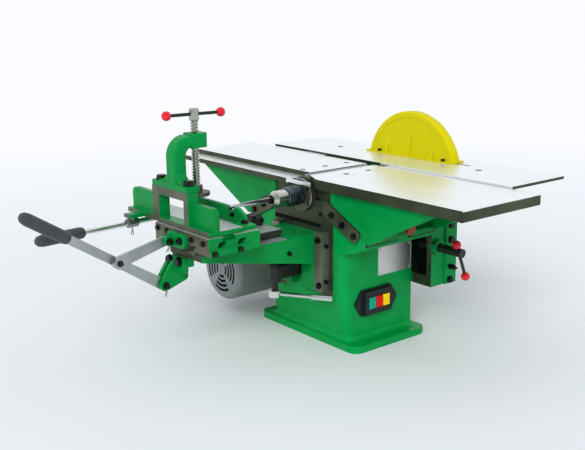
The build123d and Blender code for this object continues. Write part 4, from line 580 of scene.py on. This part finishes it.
# Bars that were milled all over: flat greys and browns with blotches of oil.
keeper_iron = casting("milled_keeper_bar", iron="#848778", iron_dark="#6B6E60", bare=EVERYWHERE)
shoe_iron = casting("worn_clamp_shoe", iron="#7B7566", iron_dark="#5C574B", bare=EVERYWHERE)
head_iron = casting("milled_iron_bar", iron="#6C6D5C", iron_dark="#525343", bare=EVERYWHERE)
# Fan cover: the motor's hammer paint, and painted shade behind its slots.
cover_paint = casting(
    "hammer_grey_fan_cover", paint="#8D9393", deep="#858B8B", pale="#B2B8B8",
    painted_shade=[{"round": (-268, 105, 56), "y": (-156.2, None)}])
print("made", len(bpy.data.materials), "materials in all")

# %% [markdown]
# ## Finish of each solid
# A solid keeps its CAD mesh, because its shape is right, and takes its finish through its material
# slot. Solids could be given their finishes one by one, but a table of finishes shows at a glance
# what is made of what, and which solids are still bare.

# %% Assign finishes
FINISHES = {
    column: ["frame_casting"],
    green_plain: ["clamp_arch", "lever_fork", "link_lug", "work_stop", "motor_mount"],
    saw_post: ["saw_table_bracket"],
    tables: ["infeed_table", "outfeed_table", "infeed_lip", "outfeed_lip"],
    knee_iron: ["knee"],
    saddle_iron: ["saddle"],
    vise_iron: ["vise_fence"],
    saw_iron: ["saw_table"],
    head_iron: ["way_gibs", "saddle_gib", "bearing_caps"],
    keeper_iron: ["knee_keepers"],
    shoe_iron: ["clamp_shoe"],
    steel: ["spindle_shaft", "cutter_block", "spindle_bearings", "motor_shaft", "motor_pulley",
            "spindle_pulley", "saw_nut", "adjuster_screw", "mortise_bit", "traverse_collar"],
    screw_steel: ["clamp_screw"],
    bar_steel: ["plunge_lever", "plunge_link"],
    rod_steel: ["traverse_lever", "ratchet_handle"],
    bright_steel: ["planer_knives", "saw_blade"],
    nose_steel: ["chuck_body"],
    sleeve_steel: ["chuck_sleeve"],
    dark_steel: ["chuck_jaws", "clamp_bar"],
    # The fan is black, which also paints the shade behind the fan cover's slots.
    black_iron: ["elevating_bracket", "elevating_screw", "lift_shaft", "lift_bar", "motor_fan"],
    knob_paint: ["adjuster_knob"],
    motor_paint: ["motor_body", "motor_terminal_box"],
    cover_paint: ["motor_fan_cover"],
    guard_paint: ["saw_guard"],
    red_phenolic: ["lift_balls", "clamp_balls"],
    vinyl_grip: ["plunge_grip", "traverse_grip"],
    switch_plastic: ["switch_housing"],
    teal_key: ["start_button"],
    red_key: ["stop_button"],
    yellow_key: ["jog_button"],
    rubber: ["drive_belt"],
}
dressed = set()
for material, names in FINISHES.items():
    for name in names:
        NODES[name].data.materials.clear()
        NODES[name].data.materials.append(material)
        dressed.add(name)
print("finished", len(dressed), "solids; left:", sorted(set(NODES) - dressed))

# %% [markdown]
# ## Turned and screwed pieces
# Screws, nuts, knobs and threads are all rings of points stacked along an axis. Blender's own
# cylinders could be cut and bevelled into them, but a ring that has a radius, a height and a
# number of flats lets a hexagon run into a round chamfer exactly as a bolt head does. So points
# make rings, a skin joins the rings, and a last function makes a piece that rides on a body.

# %% Rings and skins
SIDES = 24
UP, FRONT, LEFT, RIGHT = (0, 0, 1), (0, -1, 0), (-1, 0, 0), (1, 0, 0)


def stand(at, toward, spin=0.0):
    """The placing of a piece that is built along +Z in millimetres."""
    turn = Vector(toward).to_track_quat("Z", "Y").to_matrix().to_4x4()
    scale = Matrix.Diagonal((MM, MM, MM, 1))
    return Matrix.Translation(Vector(at) * MM) @ turn @ Matrix.Rotation(spin, 4, "Z") @ scale


def round_point(mesh, place, reach, angle, height):
    """A point at this reach and angle from the axis of its place."""
    return mesh.verts.new(place @ Vector((reach * cos(angle), reach * sin(angle), height)))


def ring(mesh, place, height, reaches):
    """A loop of points round the axis at equal turns, one for each reach."""
    return [round_point(mesh, place, reach, 2 * pi * number / len(reaches), height)
            for number, reach in enumerate(reaches)]


def skin(mesh, loops, endless=False):
    """Joins loops of points; the ends are closed, or the last loop is joined to the first."""
    for low, high in zip(loops, loops[1:] + (loops[:1] if endless else [])):
        for number in range(len(low)):
            after = (number + 1) % len(low)
            mesh.faces.new((low[number], low[after], high[after], high[number]))
    if not endless:
        mesh.faces.new(list(reversed(loops[0])))
        mesh.faces.new(loops[-1])


def flat_radius(radius, flats, angle):
    """Distance from the axis to a polygon's outline at this angle; round when flats is 0."""
    if not flats:
        return radius
    step = 2 * pi / flats
    return radius * cos(step / 2) / cos(angle % step - step / 2)


def stack(mesh, rings, place, sides=SIDES):
    """Joins rings of (radius, height, flats) into one closed skin."""
    turns = [2 * pi * number / sides for number in range(sides)]
    skin(mesh, [ring(mesh, place, height, [flat_radius(radius, flats, turn) for turn in turns])
                for radius, height, flats in rings])


print("a round ring has", SIDES, "sides")

# %% From a mesh to a piece
SMOOTH_BELOW = radians(34)
KNURL_SHARP = radians(25)


def piece(name, mesh, material, body, sharp=SMOOTH_BELOW):
    """Turns a bmesh into an object that rides on a body; steeper edges than sharp stay crisp."""
    bmesh.ops.recalc_face_normals(mesh, faces=mesh.faces)
    for face in mesh.faces:
        face.smooth = True
    for edge in mesh.edges:
        edge.smooth = edge.calc_face_angle(0.0) < sharp
    data = bpy.data.meshes.new(name)
    mesh.to_mesh(data)
    mesh.free()
    data.materials.append(material)
    made = bpy.data.objects.new(name, data)
    bpy.context.scene.collection.objects.link(made)
    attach(made, body)
    return made


# %% [markdown]
# ## Screw heads
# The machine is held together by black hexagon bolts on washers and by socket-head screws. They
# are small, but their dark dots are what the eye reads as a bolted casting. One head could be
# modelled and copied, but sizes differ and proportions follow the thread, so each kind is a short
# list of rings worked out from the size of its thread.

# %% Screw heads
SUNK = 0.4


def hexagon(size):
    """Rings of a hexagon head with its washer, for a thread of this size in millimetres."""
    corner, head, washer, thick = size * 0.95, size * 0.66, size * 1.08, size * 0.16
    return [(washer, -SUNK, 0), (washer, thick * 0.8, 0), (washer * 0.96, thick, 0),
            (corner, thick, 6), (corner, thick + head * 0.82, 6),
            (corner * 0.83, thick + head, 0), (corner * 0.3, thick + head * 1.02, 0)]


def socket(size):
    """Rings of a socket-head screw with its key hole."""
    rim, head, key = size * 0.78, size * 0.95, size * 0.46
    return [(rim, -SUNK, 0), (rim, head * 0.88, 0), (rim * 0.9, head, 0),
            (key, head, 6), (key, head * 0.45, 6), (key * 0.2, head * 0.4, 6)]


def square(size):
    """Rings of a square-head set screw."""
    corner, head = size * 0.9, size * 0.8
    return [(corner, -SUNK, 4), (corner, head * 0.8, 4),
            (corner * 0.72, head, 0), (corner * 0.2, head * 1.05, 0)]


def countersunk(size):
    """Rings of a flush screw with a key hole, in a plate that is already bored."""
    rim, key = size * 0.95, size * 0.42
    return [(rim, -0.3, 0), (rim, 0.25, 0), (rim * 0.95, 0.35, 0),
            (key, 0.35, 6), (key, -0.2, 6), (key * 0.2, -0.25, 6)]


def pointed(size):
    """Rings of a stud with a long pointed end, for locking the post."""
    stem = size * 0.75
    return [(stem, -SUNK, 0), (stem, size * 1.5, 0),
            (stem * 0.9, size * 1.7, 0), (stem * 0.16, size * 2.9, 0)]


print("five kinds of screw head")

# %% [markdown]
# ## Where the screws sit
# Screws travel with the part that they hold, so every body carries its own group. Each screw
# could be an object, but then over fifty small ones would ride along, so each list below becomes
# one piece. It gives the kind of head, its thread, the point on the face that it sits on, and the
# way that it looks, in millimetres in the machine's own frame.

# %% Screws of each body
BOTH = (1, -1)
VISE_X = -51
SPINDLE_Z = 331
CAP_FRONT, CAP_CIRCLE = -122, 30
CAP_TURNS = [radians(turn) for turn in (35, 145, 215, 325)]
SWITCH_FACE, SWITCH_Z = 141.3, 99
SCREW_SPIN = 0.3
SCREWS = {
    ("frame_bolts", "frame", bolt_steel): [
        *[(hexagon, 7, (side * x, -135, z), FRONT)
          for side in BOTH for x, z in ((75, 243), (78, 141))],
        *[(socket, 6, (side * 88, -124.5, z), (side, 0, 0)) for side in BOTH for z in (231, 150)],
        *[(hexagon, 7, (side * x, -121, z), FRONT)
          for side in BOTH for x, z in ((104, 302), (138, 286), (174, 268.5))],
        *[(socket, 5, (side * 62, -114, 297), FRONT) for side in BOTH],
        *[(hexagon, 8, (197, 156, z), RIGHT) for z in (254, 219, 125)],
        (pointed, 8, (197, 156, 156), RIGHT),
    ],
    ("cap_screws", "frame", bolt_steel): [
        (countersunk, 5, (CAP_CIRCLE * cos(turn), CAP_FRONT, SPINDLE_Z + CAP_CIRCLE * sin(turn)),
         FRONT) for turn in CAP_TURNS],
    ("vise_bolts", "vise", bolt_steel): [
        (hexagon, 11, (VISE_X - 59, -408, 388), UP), (hexagon, 11, (VISE_X + 46, -408, 390), UP)],
    ("saddle_bolts", "saddle_slide", bolt_steel): [
        *[(hexagon, 6, (x, -430, z), FRONT)
          for x, z in ((-96, 289), (-60, 289), (33, 287), (75, 287))],
        (hexagon, 8, (4, -439, 280), FRONT),
        *[(square, 8, (99, y, 269.5), RIGHT) for y in (-420, -358)],
        (socket, 6, (6, -309, 316), FRONT), (hexagon, 8, (54, -314, 307), UP),
        (hexagon, 7, (-14.4, -452, 278), RIGHT),
    ],
    ("fork_bolts", "knee_slide", bolt_steel): [
        (hexagon, 10, (-42, -435, 232.5), FRONT), (hexagon, 10, (-8, -435, 234.6), FRONT),
        (hexagon, 7, (-22.5, -459, 184), RIGHT),
        *[(socket, 6, (side * 60, -204, 223), (side, 0, 0)) for side in BOTH],
    ],
    ("lever_joint_nut", "lever_plunge", bolt_steel): [
        (hexagon, 6, (-19.4, -562, 251), RIGHT), (hexagon, 6, (-42, -562, 251), LEFT)],
    ("saw_screws", "saw_deck", dark_steel): [
        (countersunk, 8, (-226, 200, 378), UP), (countersunk, 8, (234, 199, 378), UP),
        *[(socket, 6, (x, y, 382), UP) for y in (210, 245) for x in (-92, 118)],
    ],
    ("outfeed_screws", "outfeed", dark_steel): [
        (countersunk, 7, (-53, y, 374), UP) for y in (-70, -3, 64)],
    ("infeed_screws", "infeed", dark_steel): [
        (countersunk, 7, (54, y, 374), UP) for y in (-34, 34)],
    ("switch_screws", "frame", dark_steel): [
        (countersunk, 4, (SWITCH_FACE, y, SWITCH_Z), RIGHT) for y in (-75, 35)],
}
for (name, body, material), heads in SCREWS.items():
    mesh = bmesh.new()
    for shape, size, at, toward in heads:
        stack(mesh, shape(size), stand(at, toward, spin=SCREW_SPIN * size))
    piece(name, mesh, material, body)
print("made", sum(len(heads) for heads in SCREWS.values()), "screws in", len(SCREWS), "groups")

# %% [markdown]
# ## The clamp screw
# The vise presses the work with a screw that has a coarse trapezoid thread. A bump would not show
# against the light, and a stack of rings would not climb. A thread is one ramp wound round a rod:
# the radius at any point depends on how far its height is ahead of its angle. So the skin is a
# fine grid, and the groove runs round it as one true helix.

# %% Clamp screw
THREAD_FLANK = 0.14
CLAMP_Y = -360
CLAMP_SIDES = 40


def thread_radius(turns, outer, depth):
    """Radius of a trapezoid thread; turns is height over pitch less the angle's part of a turn."""
    phase = turns % 1.0
    if phase < 0.5 - THREAD_FLANK:
        return outer
    if phase < 0.5:
        return outer - depth * (phase - 0.5 + THREAD_FLANK) / THREAD_FLANK
    if phase < 1.0 - THREAD_FLANK:
        return outer - depth
    return outer - depth * (1.0 - phase) / THREAD_FLANK


def threaded_rod(mesh, place, outer, depth, pitch, low, high, rows=14, sides=CLAMP_SIDES):
    """A closed rod with a groove that fades out at both ends; rows is the rings in one turn."""
    count = ceil((high - low) / pitch * rows)
    loops = []
    for row in range(count + 1):
        height = low + (high - low) * row / count
        fade = min(1.0, (height - low) / pitch, (high - height) / pitch)
        loops.append(ring(mesh, place, height, [
            thread_radius(height / pitch - number / sides, outer, depth * fade)
            for number in range(sides)]))
    skin(mesh, loops)


NECK = [(6.5, 363.4, 0), (6.5, 378, 0)]
HEAD = [(9.0, 512, 0), (10.5, 513.2, 0), (10.5, 535, 0), (8.5, 537, 0)]
mesh = bmesh.new()
place = stand((VISE_X, CLAMP_Y, 0), UP)
stack(mesh, NECK, place)
threaded_rod(mesh, place, outer=8.5, depth=2.3, pitch=6, low=377.4, high=512.5)
stack(mesh, HEAD, place, sides=CLAMP_SIDES)
screw = piece("clamp_screw_thread", mesh, screw_steel, "vise_screw")
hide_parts("clamp_screw")
print("clamp screw thread has", len(screw.data.polygons), "faces")

# %% [markdown]
# ## The chuck's sleeve
# The sleeve of a keyed chuck is knurled with straight grooves so that a hand can turn it. Grooves
# could be cut from it one by one, but every fourth point of a ring can simply lie deeper. The
# sleeve is such a stack of rings, open in the middle for the spindle.

# %% Knurled sleeve
KNURL_POINTS = 4


def knurled(mesh, place, rings, grooves, depth):
    """An endless stack with straight grooves; rings are (radius, height, share of the depth)."""
    points = range(grooves * KNURL_POINTS)
    skin(mesh, [ring(mesh, place, height, [
        radius - depth * share * (number % KNURL_POINTS == 0) for number in points])
        for radius, height, share in rings], endless=True)


SLEEVE = [
    (9, 127, 0), (20, 127, 0), (21.6, 128.6, 0), (21.6, 133, 0), (20.2, 133.6, 0),
    (20.2, 135.4, 0), (22, 136, 1), (22, 151, 1), (20.4, 151.6, 0), (20.4, 153.4, 0),
    (21.6, 154, 0), (21.6, 158, 0), (20.6, 158.6, 0), (20.6, 160, 0), (21.4, 160.6, 0),
    (21.4, 164.6, 0), (20, 166, 0), (9, 166, 0)]
SPINDLE_NOSE = stand((0, 0, SPINDLE_Z), FRONT)
mesh = bmesh.new()
knurled(mesh, SPINDLE_NOSE, SLEEVE, grooves=44, depth=1.0)
sleeve = piece(
    "knurled_chuck_sleeve", mesh, sleeve_steel, "spindle", sharp=KNURL_SHARP)
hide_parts("chuck_sleeve")
print("sleeve has", len(sleeve.data.polygons), "faces")

# %% [markdown]
# ## The slot bit
# A slot mortising bit is a core with two bright cutting lands that wind slowly round it. The core
# is black, as painted shade in the flutes between the lands. A twisted bar would bend its faces, so
# each land is one small closed section, an arc outside and an arc inside, that is swept along the
# bit while it turns.

# %% Fluted bit
BIT_FROM, LAND_FROM, BIT_TO = 166, 188, 315
BIT_RADIUS, BIT_CORE, LAND_ROOT = 5.4, 3.7, 0.5
BIT_TURN = radians(150)
LAND_STARTS, LAND_HALF = (radians(70), radians(250)), radians(36)


def land(mesh, place, start, half, rows=30, steps=5):
    """One winding land, swept from the shank to the tip."""
    loops = []
    for row in range(rows + 1):
        height = LAND_FROM + (BIT_TO - LAND_FROM) * row / rows
        turn = start + BIT_TURN * row / rows
        loops.append([
            round_point(mesh, place, reach, turn + side * (2 * step / steps - 1), height)
            for reach, side in ((BIT_RADIUS, half), (BIT_CORE - LAND_ROOT, -half))
            for step in range(steps + 1)])
    skin(mesh, loops)


SHANK = [(BIT_RADIUS, BIT_FROM, 0), (BIT_RADIUS, LAND_FROM, 0), (BIT_CORE, LAND_FROM + 3, 0)]
CORE = [(BIT_CORE, LAND_FROM - 2, 0), (BIT_CORE, BIT_TO - 1.2, 0), (BIT_CORE * 0.5, BIT_TO, 0)]
mesh = bmesh.new()
for start in LAND_STARTS:
    land(mesh, SPINDLE_NOSE, start, LAND_HALF)
stack(mesh, SHANK, SPINDLE_NOSE)
bit = piece("bit_lands", mesh, bright_steel, "spindle")
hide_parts("mortise_bit")
# The core is black as painted shade in the flutes.
mesh = bmesh.new()
stack(mesh, CORE, SPINDLE_NOSE)
piece("bit_core_painted_shade", mesh, black_iron, "spindle")
print("bit has", len(bit.data.polygons), "faces on its lands")

# %% [markdown]
# ## The blank plate
# A thin aluminium plate is riveted to the column. It is bare, with only a raised rim, four rivets
# and the brushed grain that such a sheet has. A flat box would have a hard outline, so the plate is
# rounded rectangles joined one over the other: up its side, over its rim, and down to its face.

# %% Outlines and plates
def inset(span, amount):
    """A span with this much taken off both ends."""
    return span[0] + amount, span[1] - amount


def rounded_rectangle(across, up, corner, steps=6):
    """Points round a rectangle with rounded corners."""
    (near, far), (low, high) = inset(across, corner), inset(up, corner)
    points = []
    for a, b, start in ((far, high, 0), (near, high, 90), (near, low, 180), (far, low, 270)):
        for step in range(steps + 1):
            angle = radians(start + 90 * step / steps)
            points.append((a + corner * cos(angle), b + corner * sin(angle)))
    return points


def join_outlines(mesh, outlines, place):
    """Joins outlines of (points, height) into one closed plate, in the axes of its place."""
    skin(mesh, [[mesh.verts.new(place @ Vector((a, b, height))) for a, b in points]
                for points, height in outlines])


def layered_plate(mesh, layers, place):
    """Joins rectangles of (across, up, corner, height) into one closed plate."""
    outlines = [(rounded_rectangle(*shape), height) for *shape, height in layers]
    join_outlines(mesh, outlines, place)


def face_axes(*axes):
    """The placing of a plate whose across, up and out run along these axes of the frame."""
    return Matrix(axes).transposed().to_4x4() @ Matrix.Diagonal((MM, MM, MM, 1))


ON_SIDE = face_axes((0, 1, 0), (0, 0, 1), (1, 0, 0))
ON_TOP = face_axes((1, 0, 0), (0, 1, 0), (0, 0, 1))
print("plates can lie on the machine's right side or on top")

# %% Blank plate
COLUMN_SIDE = 135
PLATE_Y, PLATE_Z = (-12, 92), (152, 217)
PLATE_SUNK, PLATE_THICK, PLATE_FACE = 0.3, 0.9, 0.55
RIVET_IN = 5
RIVET = [(2.4, 0.2, 0), (2.4, 0.9, 0), (1.9, 1.6, 0), (0.8, 1.9, 0)]

mesh = bmesh.new()
layered_plate(mesh, [
    (inset(PLATE_Y, rim), inset(PLATE_Z, rim), corner, COLUMN_SIDE + out)
    for rim, corner, out in ((0, 3, -PLATE_SUNK), (0, 3, PLATE_THICK),
                             (1.5, 2.2, PLATE_THICK), (1.9, 2, PLATE_FACE))], ON_SIDE)
for y in inset(PLATE_Y, RIVET_IN):
    for z in inset(PLATE_Z, RIVET_IN):
        stack(mesh, RIVET, stand((COLUMN_SIDE, y, z), RIGHT))
piece("blank_plate", mesh, brushed_plate, "frame")
print("blank plate is", PLATE_Y[1] - PLATE_Y[0], "by", PLATE_Z[1] - PLATE_Z[0], "mm")

# %% [markdown]
# ## The ears of the switch
# The switch is screwed down through two broad pointed ears, one at each end of its flat base. A
# whole new base would fill the pockets that the keys sink into, so only the ears are made. An ear
# is a five-sided outline with rounded corners, and its root is hidden under the switch.

# %% Switch ears
EAR_ROOTS, EAR_SHOULDERS, EAR_TIPS = (-53, 13), (-64.3, 24.3), (-84.5, 44.5)
EAR_Z = (68.7, 129.3)
EAR_RIM = 1.2
EAR_CUT = 5


def rounded_polygon(corners, cut, steps=5):
    """Points round a polygon whose corners are cut back this far and bridged by a curve."""
    points = []
    for before, at, after in zip(corners[-1:] + corners[:-1], corners, corners[1:] + corners[:1]):
        start = at + (before - at).normalized() * cut
        end = at + (after - at).normalized() * cut
        for step in range(steps + 1):
            part = step / steps
            points.append(start * (1 - part) ** 2 + at * 2 * part * (1 - part) + end * part ** 2)
    return points


def ear_outlines(rim):
    """The outlines of both ears with this much taken off their rims."""
    (low, high), middle = inset(EAR_Z, rim), sum(EAR_Z) / 2
    shoulders, tips = inset(EAR_SHOULDERS, rim / 2), inset(EAR_TIPS, rim)
    outlines = []
    for root, shoulder, tip in zip(EAR_ROOTS, shoulders, tips):
        corners = [(root, low), (shoulder, low), (tip, middle), (shoulder, high), (root, high)]
        outlines.append(rounded_polygon([Vector(corner) for corner in corners], EAR_CUT))
    return outlines


mesh = bmesh.new()
for full, small in zip(ear_outlines(0), ear_outlines(EAR_RIM)):
    join_outlines(mesh, [
        (full, COLUMN_SIDE), (full, SWITCH_FACE - EAR_RIM), (small, SWITCH_FACE)], ON_SIDE)
piece("switch_ears", mesh, switch_plastic, "frame")
print("switch ears reach from", EAR_TIPS[0], "to", EAR_TIPS[1], "mm")

# %% [markdown]
# ## Bright rims and key holes
# The bearing caps have a bright turned rim, and the chuck's nose has three round holes for its
# key. Holes could be cut into the nose, but its CAD mesh is never changed, so each is a small dark
# dished disc that lies on it, and its dark is a painted shade of the hole. A rim is an endless
# stack of rings, like the sleeve without grooves.

# %% Rims and key holes
CAP_REACH, CAP_SIDES = 37, 72
CAP_RIM = [(-0.2, 118.4), (0.3, 118.6), (0.3, 120.6), (-1.2, 122.2), (-1.8, 121.9)]
NOSE_Y, NOSE_REACH = -173, 17.6
KEY_HOLE = [(3.0, 0, 0), (3.0, 0.6, 0), (2.6, 0.7, 0), (2.2, 0.45, 0)]

mesh = bmesh.new()
for side in (-1, 1):
    place = stand((0, 0, SPINDLE_Z), (0, side, 0))
    skin(mesh, [ring(mesh, place, height, [CAP_REACH + past] * CAP_SIDES)
                for past, height in CAP_RIM], endless=True)
piece("cap_rims", mesh, steel, "frame")

# Dark discs as painted shade of the key holes.
mesh = bmesh.new()
for turn in (radians(100), radians(220), radians(340)):
    out = Vector((cos(turn), 0, sin(turn)))
    stack(mesh, KEY_HOLE, stand(Vector((0, NOSE_Y, SPINDLE_Z)) + out * NOSE_REACH, out))
piece("chuck_key_holes", mesh, bolt_steel, "spindle")
print("two rims and three key holes made")

# %% [markdown]
# ## The plunge stop
# A black stop with a knurled knob is clamped on the knee's rail, and sets how deep the saddle may
# plunge. A bevel modifier on a cube would do for its block, but the plate builder already makes
# rounded corners and bevelled rims, so the block is a thick plate and the knob is a short sleeve.

# %% Plunge stop
STOP_X, STOP_Y, STOP_Z = (-46, -20), (-238, -214), (275, 297)
KNOB = [(3, -1, 0), (8, -0.5, 0), (10, 1.5, 1), (10, 10, 1), (8.6, 11.6, 0), (3, 12, 0)]


def soft_block(mesh, x, y, z, bevel, corner):
    """A block with rounded uprights and bevelled rims."""
    rims = ((bevel, z[0]), (0, z[0] + bevel), (0, z[1] - bevel), (bevel, z[1]))
    layered_plate(mesh, [
        (inset(x, rim), inset(y, rim), corner, height) for rim, height in rims], ON_TOP)


mesh = bmesh.new()
soft_block(mesh, STOP_X, STOP_Y, STOP_Z, bevel=1.2, corner=2)
place = stand((STOP_X[1], sum(STOP_Y) / 2, sum(STOP_Z) / 2), RIGHT)
knurled(mesh, place, KNOB, grooves=22, depth=0.8)
piece("plunge_stop", mesh, black_iron, "knee_slide", sharp=KNURL_SHARP)
print("plunge stop is", STOP_Y[1] - STOP_Y[0], "mm long on the rail")

# %% [markdown]
# ## Split pins
# Split pins keep the three pivot pins in. A real one is one wire bent double, and only the two
# spread legs show below the hole. A curve with a round bevel would do, but a leg is straight, so
# it is a thin stack of rings with a cut end, and each pin rides on the body that its hole is in.

# %% Split pins
PIN_RADIUS, PIN_IN, PIN_SPREAD, PIN_SIDES = 1.0, 3, 0.16, 8
SPLIT_PINS = {
    ("collar_pin", "collar_traverse"): ((-170, -450, 278), (0.1, -0.1, -1), 17),
    ("lug_pin", "saddle_slide"): ((-13, -452, 271), (-0.35, -0.35, -1), 17),
    ("fork_pin", "knee_slide"): ((-20, -459, 177), (-0.2, -0.2, -1), 18),
}
for (name, body), (at, toward, long) in SPLIT_PINS.items():
    leg = [(PIN_RADIUS, -PIN_IN, 0), (PIN_RADIUS, long * 0.9, 0), (PIN_RADIUS / 2, long, 0)]
    mesh = bmesh.new()
    for spread in (-PIN_SPREAD, PIN_SPREAD):
        stack(mesh, leg, stand(at, Vector(toward) + Vector((0, spread, 0))), sides=PIN_SIDES)
    piece(name, mesh, zinc_steel, body)
print("made", len(SPLIT_PINS), "split pins")

# %% [markdown]
# ## Shade in the way gap
# Along the end of the infeed table's inclined way, a dark gap lies between the table and the
# column. Two thin soft blocks lie in it as painted shade, and the belt's black rubber serves as
# their material. Hairs could be grown on them, but only an edge shows, so two thin soft blocks
# are enough.

# %% Painted shade in the way gap
SHADE_STRIP_X, SHADE_STRIP_Z = (199.6, 201.6), (248, 256)
SHADE_STRIP_RUNS = ((-112, -14), (14, 102))

# Two black strips, painted shade of the gap under the infeed table.
mesh = bmesh.new()
for run in SHADE_STRIP_RUNS:
    soft_block(mesh, SHADE_STRIP_X, run, SHADE_STRIP_Z, bevel=0.4, corner=0.6)
piece("way_gap_painted_shade", mesh, rubber, "frame")
print("made", len(SHADE_STRIP_RUNS), "shade_strips")
